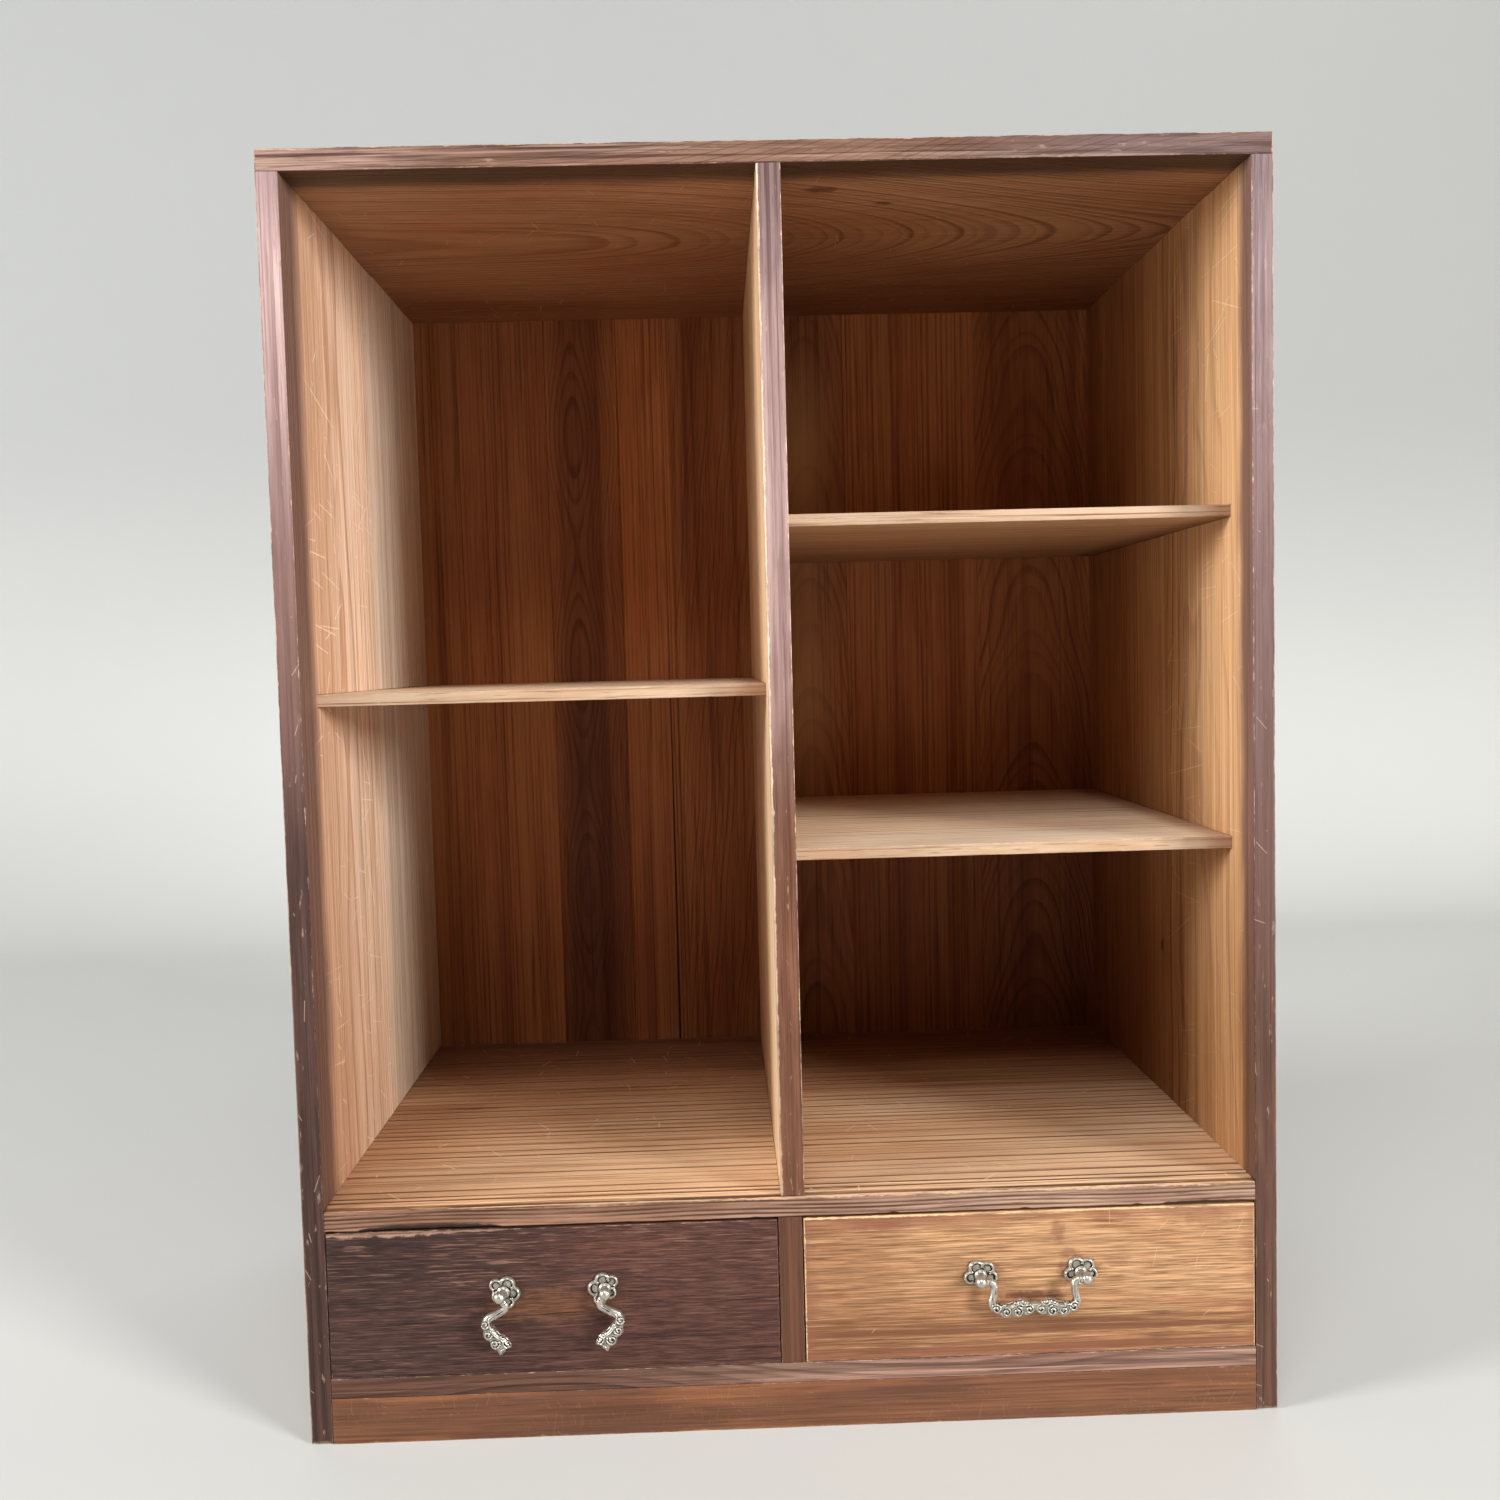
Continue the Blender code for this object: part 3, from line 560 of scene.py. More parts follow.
def make_sides():
    for look in SIDES:
        front, rear = f"{look.word}_side_front_plank", f"{look.word}_side_rear_plank"
        sign = look.sign
        outside = ("x", LEFT if sign < 0 else RIGHT)
        wood = Cedar(
            front + "_wood", "Z", (sign * (0.35 + look.behind), FRONT + 0.12), 0.0046, look.front,
            lean=0.010, wander=0.009, wave=4.2, seed=2.0 + sign, lines=0.9, start=0.5,
        )
        wood.cover(wood.behind(0.05, 0.19, 0.75, 0.0), look.warm)
        # Painted shade: the front plank darkens towards its rear
        wood.darken(wood.behind(0.07, 0.2), look.shade)
        wood.streaks(
            (scaled(look.warm, 0.95), 6.0, 36.0, 0.53, 0.68, 0.4, 7.0),
            (scaled(look.warm, 0.8), 3.0, 420.0, 0.54, 0.66, 0.55, 9.0),
            ((250, 222, 190), 2.0, 360.0, 0.56, 0.68, 0.4, 14.0),
        )
        amount, width = look.scratched
        cluster = wood.patches((9.0, 12.0, 7.0), 4.0 + sign, 0.46, 0.58, amount)
        wood.scratches("yz", 0.034, 0.030, width, SCRATCH, cluster, 3.0 + sign, 2.6)
        wood.scratches("yz", 0.017, 0.015, width * 0.8, SCRATCH, cluster, 8.0 + sign, 2.6)
        wood.stain_band(*look.band, 0.92)
        # Painted shade: darker towards the bottom
        wood.darken(wood.ease(wood.z, 0.22, 0.52, 1.0, 0.0), look.dim)
        start, end = look.turn
        wood.front_face(look.high, look.low, wood.blend_along(wood.z, start, end, 0.1))
        face = wood.near("y", FRONT)
        reddish = wood.times(
            face, wood.ease(wood.z, start - 0.06, start + 0.1, 0.0, 0.6),
            wood.ease(wood.z, end - 0.24, end, 1.0, 0.0),
        )
        wood.cover(reddish, look.middle)
        # Painted shade on the front face near the top
        wood.darken(wood.times(face, wood.ease(wood.z, 0.83, 0.9)), (218, 214, 216))
        wood.scratches("xz", 0.03, 0.009, 0.0004, WORN_PALE, wood.times(face, 0.45), 12.0 + sign)
        wood.flecked(0.14)
        wood.stained(wood.blend_along(wood.z, 0.0, 0.9, 0.4), outside)
        wood.worn(WORN_PALE, wood.ease(wood.z, 0.2, 0.62, 0.25, 0.9))
        outer, inner = ("left", "right") if sign < 0 else ("right", "left")
        edges = {
            f"front {outer}": Wear(0.0011, 0.0005, 1.0 + sign, 0.0012),
            f"front {inner}": Wear(0.0007, 0.0004, 4.0 + sign, 0.0022),
            "front under": Wear(0.0045, 0.0, 7.0, rows=CHIP_ROWS),
            f"{outer} under": Wear(0.0022, 0.0005, 9.0, rows=CHIP_ROWS),
        }
        worn_board(front, wood.done(), Z, edges)
        wood = Cedar(
            rear + "_wood", "Z", (sign * 0.342, FRONT + 1.1), 0.0031, look.rear,
            lean=0.004, wander=0.002, seed=5.0 + sign, start=0.45,
        )
        wood.streaks((look.front[2], 1.5, 30.0, 0.52, 0.68, 0.25, 3.0))
        wood.cover(wood.behind(0.2, 0.32, 0.5, 0.0), scaled(look.front[1], 0.96))
        wood.flecked(0.16)
        # Painted shade: darker towards the bottom
        wood.darken(wood.ease(wood.z, 0.22, 0.52, 1.0, 0.0), look.dim)
        wood.spot("yz", (FRONT + 0.215, 0.30), (0.006, 0.010), (70, 40, 22), 0.9)
        wood.stained(wood.blend_along(wood.z, 0.0, 0.9, 0.4), outside, ("y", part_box(rear)[1].y))
        plain_board(rear, wood.done())


def make_top():
    tones = ((168, 122, 88), (150, 104, 71), (112, 71, 45))
    wood = Cedar(
        "top_wood", "X", (FRONT + 0.18, UNDER_TOP + 0.17), 0.003, tones,
        lean=0.12, sway=(0.012, 0.7, -1.0), wander=0.002, seed=1.0, lines=0.85, start=0.35,
    )
    wood.streaks(
        ((143, 82, 53), 5.0, 9.0, 0.52, 0.70, 0.45, 6.0),
        ((124, 76, 47), 9.0, 150.0, 0.56, 0.70, 0.5, 8.0),
    )
    wood.darken(wood.behind(0.2, 0.42), (234, 218, 210))
    few = wood.patches((6.0, 8.0, 6.0), 2.0, 0.46, 0.60, 0.35)
    wood.scratches("xy", 0.024, 0.013, 0.0008, (214, 168, 126), few, 1.0)
    wood.spot("xy", (LEFT + 0.391, FRONT + 0.061), (0.022, 0.011), (84, 48, 26))
    wood.spot("xy", (LEFT + 0.44, FRONT + 0.095), (0.012, 0.007), (92, 54, 30))
    wood.stain_band(0.05, (66, 44, 29), 0.92)
    pale = ((174, 141, 127), (134, 102, 89), (70, 46, 38))
    brown = ((133, 98, 80), (103, 72, 57), (60, 39, 30))
    mauve = ((120, 96, 91), (98, 75, 71), (70, 51, 48))
    face = wood.near("y", FRONT)
    wood.front_face(pale, brown, wood.blend_along(wood.x, -0.2, -0.34, 0.08), 0.95)
    right_end = wood.times(face, wood.blend_along(wood.x, 0.1, 0.26, 0.1))
    wood.finish(right_end, mauve, mauve, 0.5, 0.5)
    wood.cover(wood.times(face, wood.cloud(5.0, 300.0, 0.53, 0.61, 0.8, 12.0)), (72, 47, 38))
    wood.cover(wood.times(face, wood.cloud(5.0, 330.0, 0.56, 0.66, 0.4, 15.0)), (190, 158, 142))
    rubbed = wood.cloud(4.0, 14.0, 0.45, 0.62)
    wood.stained(rubbed, ("z", TOP_HIGH.z), ("x", LEFT), ("x", RIGHT))
    wood.worn((206, 172, 148))
    edges = {
        "front over": Wear(0.0011, 0.0006, 11.0, 0.0016, [(-0.335, 0.03, 0.0012)]),
        "front under": Wear(0.0006, 0.0003, 12.0, 0.0008),
        "front left": Wear(0.0012, 0.0005, 13.0),
        "front right": Wear(0.0016, 0.0005, 14.0, 0.0, [(0.9015, 0.0014, 0.0022)], CHIP_ROWS),
        "over right": Wear(0.0030, 0.0005, 15.0, rows=CHIP_ROWS),
    }
    material = wood.done(0.0006)
    worn_board("top_front_plank", material, X, edges)
    plain_board("top_rear_plank", material)


def make_divider():
    tones = ((242, 210, 172), (228, 190, 148), (180, 130, 90))
    wood = Cedar(
        "divider_wood", "Z", (0.02, FRONT + 0.9), 0.0042, tones,
        lean=0.006, wander=0.004, seed=7.0, lines=0.75, start=0.4,
    )
    wood.stain_band(0.014, (168, 128, 104), 0.6)
    high = ((178, 149, 144), (150, 120, 116), (118, 88, 84))
    low = ((122, 80, 60), (99, 63, 45), (74, 45, 32))
    wood.darken(wood.near("x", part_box("divider_front_plank")[1].x), (196, 176, 156))
    wood.front_face(high, low, wood.blend_along(wood.z, 0.38, 0.68, 0.12), 0.85)
    face = wood.near("y", FRONT)
    # Painted shade on the front face near the top
    wood.darken(wood.times(face, wood.ease(wood.z, 0.76, 0.89)), (190, 184, 186))
    wood.flecked(0.14)
    wood.worn((244, 218, 188), wood.ease(wood.z, 0.2, 0.6, 0.4, 0.9))
    edges = {
        "front left": Wear(0.0019, 0.0007, 21.0, 0.0012),
        "front right": Wear(0.0009, 0.0005, 22.0, 0.0018),
    }
    material = wood.done()
    worn_board("divider_front_plank", material, Z, edges)
    plain_board("divider_rear_plank", material)


def make_shelves():
    tones = ((252, 230, 202), (246, 216, 182), (150, 104, 70))
    pale = ((202, 173, 145), (186, 150, 119), (120, 76, 55))
    for k, node in enumerate(("left_shelf", "right_lower_shelf", "right_upper_shelf")):
        low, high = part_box(node)
        wood = Cedar(
            node + "_wood", "X", (FRONT + 1.2, low.z), 0.0092, tones,
            lean=0.01, wander=0.004, seed=11.0 + k, lines=0.95, start=0.6,
        )
        wood.streaks(((220, 176, 136), 6.0, 60.0, 0.55, 0.70, 0.25, 5.0))
        # Painted shade on the underside
        wood.darken(wood.near("z", low.z), (188, 164, 144))
        wood.finish(wood.near("y", low.y), pale, pale, 0.5, 0.9)
        # Painted shade towards the right end, where the shelf meets the board beside it
        wood.darken(wood.ease(wood.x, high.x - 0.035, high.x - 0.008, 0.0, 0.8), (190, 160, 146))
        wood.worn((222, 194, 160))
        edges = {
            "front over": Wear(0.0008, 0.0004, 31.0 + k, 0.0010),
            "front under": Wear(0.0006, 0.0003, 35.0 + k, 0.0010),
        }
        worn_board(node, wood.done(), X, edges, reach=low.y - FRONT + FRONT_ZONE)


# Grain lines of the floor's front edge: their places, half width and depth, their strength and its swing,
# and the pace and the seed of that swing
GrainLines = namedtuple("GrainLines", "places half depth strength swing pace seed")
SLOPE_LINES = GrainLines((0.0036, 0.0078, 0.0125, 0.018), 0.0011, 0.0008, 0.6, 0.6, 14.0, 2.0)
FACE_LINES = GrainLines((0.0036, 0.0066, 0.0094, 0.0126), 0.0013, 0.0009, 0.75, 0.7, 11.0, 7.0)
SLOPE_REACH, SLOPE_DROP = 0.016, 0.0016

# Depth to which the floor's top has lines, and its cuts: strip, slices, rows on the face and on the slope
FLOOR_LINED = 0.022
FLOOR_ZONE, FLOOR_SLICE = 0.023, 0.0045
FACE_STEP, SLOPE_STEP = 0.0006, 0.0009


def grain_cut(lines, x, place):
    """How strongly one of the lines cuts in at a place across them."""
    deepest = 0.0
    for line in lines.places:
        share = max(0.0, 1 - abs(place - line) / lines.half)
        strength = lines.strength + lines.swing * noise.noise((x * lines.pace, line * 900.0, lines.seed))
        deepest = max(deepest, share * max(0.0, strength))
    return deepest


def floor_relief(place):
    """The floor's front edge, worn back by years of use: grain ridges on the face and on the sloping top."""
    depth, drop = place.y - FRONT, FLOOR_TOP - place.z
    move, slope, face = Vector(), 0.0, 0.0
    wave = 0.0006 * sin(place.x * 31.0) + 0.0008 * noise.noise((place.x * 9.0, 3.0, 0.0))
    if drop < TINY and depth < FLOOR_LINED:
        fade = 1 - min(1.0, depth / SLOPE_REACH)
        slope = grain_cut(SLOPE_LINES, place.x, depth - wave)
        move.z -= SLOPE_DROP * fade * fade
        move.z -= SLOPE_LINES.depth * slope
    if depth < TINY:
        face = grain_cut(FACE_LINES, place.x, drop - wave)
        move.y += FACE_LINES.depth * face
    return move, max(slope, face)


def make_floor():
    tones = ((248, 211, 172), (238, 194, 152), (92, 57, 37))
    wood = Cedar(
        "floor_wood", "X", (FRONT + 1.6, FLOOR_TOP - 0.05), 0.0105, tones,
        lean=0.004, seed=15.0, start=0.62,
    )
    wood.streaks(
        ((206, 158, 116), 3.0, 22.0, 0.52, 0.70, 0.5, 4.0),
        ((150, 102, 66), 2.0, 330.0, 0.55, 0.66, 0.6, 6.0),
    )
    # Painted shade: darker towards the rear, more on the left
    leftward = wood.ease(wood.x, -0.02, 0.03, 1.0, 0.45)
    wood.darken(wood.times(wood.behind(0.07, 0.25), leftward), (196, 180, 170))
    # Painted shadow near the left end
    wood.darken(wood.ease(wood.x, LEFT + 0.02, LEFT + 0.15, 0.7, 0.0), (206, 186, 170))
    wood.darken(wood.behind(0.05, 0.15, 1.0, 0.0), (246, 240, 236))
    wood.spot("xy", (-0.263, FRONT + 0.232), (0.045, 0.004), (116, 66, 38), 0.8)
    few = wood.patches((7.0, 7.0, 7.0), 5.0, 0.48, 0.62, 0.6)
    wood.scratches("xy", 0.03, 0.012, 0.0009, (250, 222, 180), few, 4.0)
    pale = ((181, 146, 124), (150, 115, 95), (82, 54, 41))
    brown = ((154, 115, 92), (119, 85, 66), (73, 46, 35))
    wood.front_face(pale, brown, wood.blend_along(wood.x, -0.12, 0.1, 0.1), 0.95)
    wood.worn((204, 167, 135), wood.blend_along(wood.x, -0.3, 0.1, 0.2))
    # Painted shadow: the chipped lower arris of the front is painted near black, for the shade in the gap above
    # the drawer
    torn_wood_and_gap_shadow = wood.times(
        wood.ease(wood.attribute("wear"), 0.1, 0.5),
        wood.ease(wood.z, FLOOR_TOP - 0.0105, FLOOR_TOP - 0.008, 0.95, 0.0),
    )
    wood.cover(torn_wood_and_gap_shadow, (46, 30, 23))
    wood.grooved((66, 40, 27))
    torn_under = [(-0.26, 0.05, 0.0034), (0.30, 0.03, 0.0014)]
    edges = {
        "front over": Wear(0.0032, 0.0008, 41.0, 0.001, rows=CHIP_ROWS),
        "front under": Wear(0.0009, 0.0004, 42.0, 0.003, torn_under, CHIP_ROWS),
    }
    rows = range(1, 25)
    cuts = [(Z, FLOOR_TOP - FACE_STEP * k) for k in rows] + [(Y, FRONT + SLOPE_STEP * k) for k in rows]
    material = wood.done(0.0006)
    worn_board("floor_front_plank", material, X, edges, FLOOR_ZONE, FLOOR_SLICE, cuts, floor_relief)
    rear = Cedar(
        "floor_rear_wood", "X", (FRONT + 1.9, FLOOR_TOP - 0.05), 0.0120,
        ((196, 150, 114), (176, 131, 96), (112, 76, 52)),
        lean=0.003, wander=0.004, seed=18.0, lines=0.8, start=0.6,
    )
    # Painted shade: darker towards the back
    rear.darken(rear.behind(0.27, 0.42), (214, 206, 206))
    # Painted shade: darker at the left rear
    left_rear = rear.times(rear.ease(rear.x, -0.02, 0.03, 1.0, 0.0), rear.behind(0.25, 0.35))
    rear.darken(left_rear, (212, 200, 192))
    rear.streaks(((122, 80, 52), 5.0, 90.0, 0.55, 0.70, 0.5, 4.0))
    rear.scratches("xy", 0.03, 0.012, 0.0009, (206, 162, 118), 0.6, 6.0)
    rear.flecked(0.16)
    plain_board("floor_rear_plank", rear.done())


# How one back plank was sawn: pith from the left edge and behind the face, year, lean and sway. dark is the
# darkness of its middle, upper a painted shade on its upper half, and pale painted patches of light: place, half
# size, amount
BackLook = namedtuple(
    "BackLook", "pith behind year lean sway dark upper pale", defaults=(None, 0.0, 0.0, ())
)

BACKS = (
    BackLook(-0.60, 0.02, 0.0042, 0.004, upper=1.0),
    BackLook(0.170, 0.018, 0.0030, 0.004, (0.0042, 0.227, 1.9), 0.7),
    BackLook(-0.50, 0.02, 0.0040, 0.004),
    BackLook(
        0.403, 0.070, 0.0034, 0.075, (0.0008, 0.13, 0.9), 0.1, 0.8,
        [((0.04, 0.74), (0.05, 0.15), 0.6), ((0.04, 0.50), (0.05, 0.17), 0.45)],
    ),
    BackLook(1.30, 0.03, 0.0050, 0.004),
    BackLook(0.622, 0.080, 0.0036, 0.110, (0.0010, 0.11, 0.4), 0.3),
)


def make_back():
    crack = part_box("back_plank_4")[0].x
    for k, look in enumerate(BACKS):
        node = f"back_plank_{k + 1}"
        wood = Cedar(
            f"back_wood_{k + 1}", "Z", (LEFT + look.pith, BACK_FACE + look.behind), look.year,
            ((192, 123, 73), (174, 105, 58), (122, 69, 36)),
            lean=look.lean, sway=look.sway, seed=21.0 + 2 * k, lines=0.72, start=0.45,
        )
        wood.streaks(
            ((198, 136, 82), 0.8, 34.0, 0.50, 0.64, 0.5, 3.0),
            ((136, 70, 42), 0.8, 30.0, 0.52, 0.66, 0.5, 6.0),
            ((112, 58, 32), 3.0, 260.0, 0.55, 0.66, 0.55, 8.0),
        )
        if look.dark:
            low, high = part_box(node)
            half = (high.x - low.x) / 2
            aside = wood.apart(wood.x, low.x + half)
            wood.darken(wood.ease(aside, half * 0.3, half * 1.15, look.dark, look.dark * 0.2), (112, 82, 82))
        # Painted shade: darker towards the bottom
        wood.darken(wood.ease(wood.z, 0.18, 0.62, 1.0, 0.0), (206, 200, 196))
        # Painted shade on the upper half
        if look.upper:
            wood.darken(wood.ease(wood.z, 0.5, 0.68, 0.0, look.upper), (216, 214, 222))
        # Painted patches of light
        for (x, z), (wide, tall), amount in look.pale:
            across = wood.ease(wood.apart(wood.x, x), 0.0, wide, amount, 0.0)
            upright = wood.ease(wood.apart(wood.z, z), 0.0, tall, 1.0, 0.0)
            wood.cover(wood.times(across, upright, wood.near("y", BACK_FACE)), (240, 190, 136))
        gape = wood.ease(wood.z, 0.2, 0.62, 0.0016, 0.0003)
        away = wood.math("DIVIDE", wood.apart(wood.x, crack), gape)
        wood.cover(wood.ease(away, 0.5, 1.0, 0.95, 0.0), (24, 12, 7))
        plain_board(node, wood.done())


def make_base():
    rail = Cedar(
        "rail_wood", "X", (FRONT - 0.06, 0.02), 0.0023, ((150, 117, 101), (126, 94, 80), (76, 50, 41)),
        lean=0.012, sway=(0.003, 0.42, 0.7), wander=0.004, wave=3.0, seed=31.0, lines=0.9, start=0.4,
    )
    rail.streaks(((182, 148, 128), 4.0, 330.0, 0.55, 0.66, 0.6, 4.0))
    rail.darken(rail.blend_along(rail.x, 0.1, -0.2, 0.1), (164, 147, 139))
    rail.flecked(0.3, 5.0)
    rail.worn((190, 156, 134))
    edges = {
        "front over": Wear(0.0007, 0.0003, 51.0, 0.0012),
        "front under": Wear(0.0006, 0.0003, 52.0, 0.0008),
    }
    material = rail.done()
    worn_board("bottom_front_plank", material, X, edges)
    plain_board("bottom_rear_plank", material)
    plinth = Cedar(
        "plinth_wood", "X", (FRONT - 0.3, 0.01), 0.0046, ((119, 78, 54), (103, 66, 46), (79, 48, 34)),
        lean=0.006, seed=33.0, lines=0.5, start=0.3,
    )
    plinth.streaks(
        ((96, 63, 49), 5.0, 55.0, 0.52, 0.66, 0.6, 3.0),
        ((148, 95, 62), 7.0, 50.0, 0.52, 0.68, 0.5, 5.0),
        ((82, 50, 36), 14.0, 420.0, 0.56, 0.68, 0.5, 7.0),
    )
    anywhere = plinth.patches((8.0, 8.0, 20.0), 1.0, 0.42, 0.58, 0.3)
    plinth.scratches("xz", 0.024, 0.010, 0.0005, (178, 128, 90), anywhere, 5.0, 0.4)
    plinth.scratches("xz", 0.012, 0.006, 0.0005, (174, 124, 88), anywhere, 9.0, 0.4)
    plinth.flecked(0.16, 6.0)
    plinth.worn((172, 128, 98))
    edges = {
        "front over": Wear(0.0006, 0.0003, 53.0, 0.0008),
        "front under": Wear(0.0014, 0.0006, 54.0, 0.0016),
    }
    worn_board("plinth_board", plinth.done(), X, edges)
    stile = Cedar(
        "drawer_stile_wood", "Z", (0.0, FRONT + 0.4), 0.0036, ((98, 63, 46), (82, 50, 37), (60, 35, 26)),
        lean=0.006, wander=0.002, seed=35.0, lines=0.6,
    )
    stile.flecked(0.2)
    stile.worn((160, 120, 94))
    edges = {
        "front left": Wear(0.0007, 0.0003, 55.0, 0.001),
        "front right": Wear(0.0007, 0.0003, 56.0, 0.001),
    }
    worn_board("drawer_stile", stile.done(), Z, edges)
    lining = Cedar(
        "lining_wood", "Y", (0.6, 0.06), 0.0052, ((218, 178, 132), (204, 160, 112), (158, 108, 66)),
        lean=0.006, seed=37.0, lines=0.7,
    ).done()
    cross = Cedar(
        "cross_lining_wood", "X", (0.8, 0.08), 0.0048, ((214, 174, 128), (200, 156, 108), (152, 104, 62)),
        lean=0.006, seed=39.0, lines=0.7,
    ).done()
    plain_board("drawer_guide", lining)
    for word in ("left", "right"):
        for part in ("left_side", "right_side", "bottom"):
            plain_board(f"{word}_drawer_{part}", lining)
        plain_board(f"{word}_drawer_back", cross)


def left_front_wood():
    """Dark worn finish with short pale flecks along the grain."""
    dark = Cedar(
        "left_front_wood", "X", (FRONT - 0.10, 0.13), 0.0042, ((66, 44, 39), (57, 38, 34), (40, 27, 24)),
        lean=0.012, wander=0.004, seed=41.0, lines=0.5,
    )
    low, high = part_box("left_drawer_front")
    dark.cover(dark.ease(dark.x, low.x + 0.06, high.x - 0.1, 0.0, 0.6), (90, 55, 45))
    middle = (POSTS[0][0] + POSTS[1][0]) / 2
    dark.spot("xz", (middle, PULL_Z - 0.012), (0.075, 0.020), (108, 70, 47), 0.75)
    dark.spot("xz", (middle + 0.05, PULL_Z + 0.03), (0.07, 0.008), (100, 62, 48), 0.6)
    dark.streaks(
        ((48, 33, 31), 6.0, 260.0, 0.52, 0.66, 0.6, 3.0),
        ((98, 67, 56), 22.0, 800.0, 0.52, 0.66, 0.65, 5.0),
    )
    dark.flecked(0.35, 55.0, 900.0)
    upper = dark.ease(dark.z, low.z + 0.03, high.z, 0.25, 0.8)
    leftward = dark.ease(dark.x, low.x + 0.02, low.x + 0.2, 1.0, 0.45)
    dark.cover(dark.times(dark.cloud(30.0, 700.0, 0.57, 0.66, 0.9, 7.0), upper), (138, 100, 82))
    patches = dark.patches((11.0, 9.0, 20.0), 3.0, 0.48, 0.64)
    torn_wood_and_gap_shadow = dark.times(dark.cloud(30.0, 560.0, 0.57, 0.66, 0.9, 9.0), patches, upper, leftward)
    dark.cover(torn_wood_and_gap_shadow, (178, 137, 112))
    dark.worn((164, 128, 107))
    return dark.done(0.0006)


def right_front_wood():
    """Bare tan wood, with the old finish left in patches near the edges and round the pull."""
    tan = Cedar(
        "right_front_wood", "X", (FRONT + 0.9, 0.10), 0.0062,
        ((189, 146, 106), (174, 132, 94), (132, 88, 57)),
        lean=0.006, wander=0.004, seed=45.0, lines=0.7, start=0.55,
    )
    low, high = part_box("right_drawer_front")
    tan.darken(tan.ease(tan.x, low.x, low.x + 0.18, 0.9, 0.0), (200, 186, 182))
    tan.darken(tan.ease(tan.z, low.z, low.z + 0.05, 0.9, 0.0), (206, 192, 182))
    tan.streaks(
        ((168, 114, 80), 5.0, 40.0, 0.53, 0.68, 0.5, 3.0),
        ((214, 170, 120), 4.0, 26.0, 0.55, 0.68, 0.5, 11.0),
        ((150, 101, 65), 4.0, 420.0, 0.53, 0.66, 0.5, 5.0),
        ((122, 79, 51), 24.0, 900.0, 0.53, 0.66, 0.75, 7.0),
        ((214, 174, 130), 16.0, 800.0, 0.56, 0.70, 0.4, 9.0),
        ((112, 70, 44), 40.0, 1100.0, 0.57, 0.66, 0.55, 15.0),
    )
    tan.flecked(0.34, 20.0, 800.0)
    tan.spot("xz", (LEFT + 0.411, 0.150), (0.032, 0.009), (122, 74, 56), 0.5)
    tan.spot("xz", (LEFT + 0.440, 0.156), (0.034, 0.006), (122, 74, 56), 0.45)
    tan.spot("xz", (LEFT + 0.650, 0.146), (0.036, 0.009), (132, 84, 60), 0.4)
    lower = tan.ease(tan.z, low.z + 0.02, low.z + 0.045, 1.0, 0.0)
    tan.cover(tan.times(tan.cloud(2.0, 230.0, 0.52, 0.6, 0.8, 13.0), lower), (112, 70, 46))
    for side in (-1, 1):
        tan.spot("xz", (BAIL_X + side * 0.036, PULL_Z + 0.002), (0.022, 0.013), (96, 54, 44), 0.75)
    tan.spot("xz", (BAIL_X, PULL_Z - 0.0160), (0.036, 0.0045), (96, 52, 40), 0.8)
    tan.spot("xz", (BAIL_X + 0.062, PULL_Z + 0.008), (0.02, 0.006), (132, 84, 68), 0.4)
    tan.spot("xz", (LEFT + 0.541, 0.138), (0.008, 0.014), (122, 76, 60), 0.5)
    tan.spot("xz", (LEFT + 0.548, 0.1225), (0.012, 0.005), (112, 68, 52), 0.5)
    tan.cover(tan.rim(low, high, 0.012, 0.55), (138, 88, 68))
    marks = tan.patches((9.0, 9.0, 16.0), 4.0, 0.47, 0.6, 0.3)
    tan.scratches("xz", 0.03, 0.009, 0.0004, (236, 202, 158), marks, 3.0)
    tan.worn((232, 196, 146))
    return tan.done(0.0007)


def make_drawer_fronts():
    broken = [(-0.283, 0.045, 0.0036), (-0.328, 0.016, 0.002), (-0.225, 0.02, 0.0010)]
    edges = {
        "front over": Wear(0.0008, 0.0004, 61.0, 0.0016, broken, CHIP_ROWS),
        "front under": Wear(0.0008, 0.0004, 62.0, 0.0016),
        "front left": Wear(0.0008, 0.0004, 63.0, 0.0012),
        "front right": Wear(0.0008, 0.0004, 64.0, 0.0012),
    }
    worn_board("left_drawer_front", left_front_wood(), X, edges)
    edges = {
        "front over": Wear(0.0017, 0.0006, 71.0, 0.0012),
        "front under": Wear(0.0009, 0.0004, 72.0, 0.0012),
        "front left": Wear(0.0014, 0.0004, 73.0, 0.0012),
        "front right": Wear(0.0012, 0.0004, 74.0, 0.0014),
    }
    worn_board("right_drawer_front", right_front_wood(), X, edges)


# Pulls: thickness of their relief, how far a scroll winds in, where a petal's edge rolls, as shares of its
# size, how far off a ray starts that lays relief on a casting, and the depth that counts as a hollow
SCROLL_THICK, LINE_THICK, PETAL_THICK = 0.00072, 0.0006, 0.0009
WOUND_IN = 0.86
PETAL_ROLL = 0.76
RAY_START = 0.03
HOLLOW_DEPTH = 0.00012


def tube(bm, points, radii, sides=8):
    """Skin a round tube of changing radius along points."""
    rings = []
    for k, point in enumerate(points):
        ahead = points[min(k + 1, len(points) - 1)] - points[max(k - 1, 0)]
        turn = ahead.to_track_quat("Z", "Y")
        ring = []
        for n in range(sides):
            angle = tau * n / sides
            ring.append(bm.verts.new(point + turn @ Vector((cos(angle), sin(angle), 0.0)) * radii[k]))
        rings.append(ring)
    for near, far in zip(rings, rings[1:]):
        for n in range(sides):
            bm.faces.new((near[n - 1], near[n], far[n], far[n - 1]))
    bm.faces.new(rings[0])
    bm.faces.new(rings[-1])


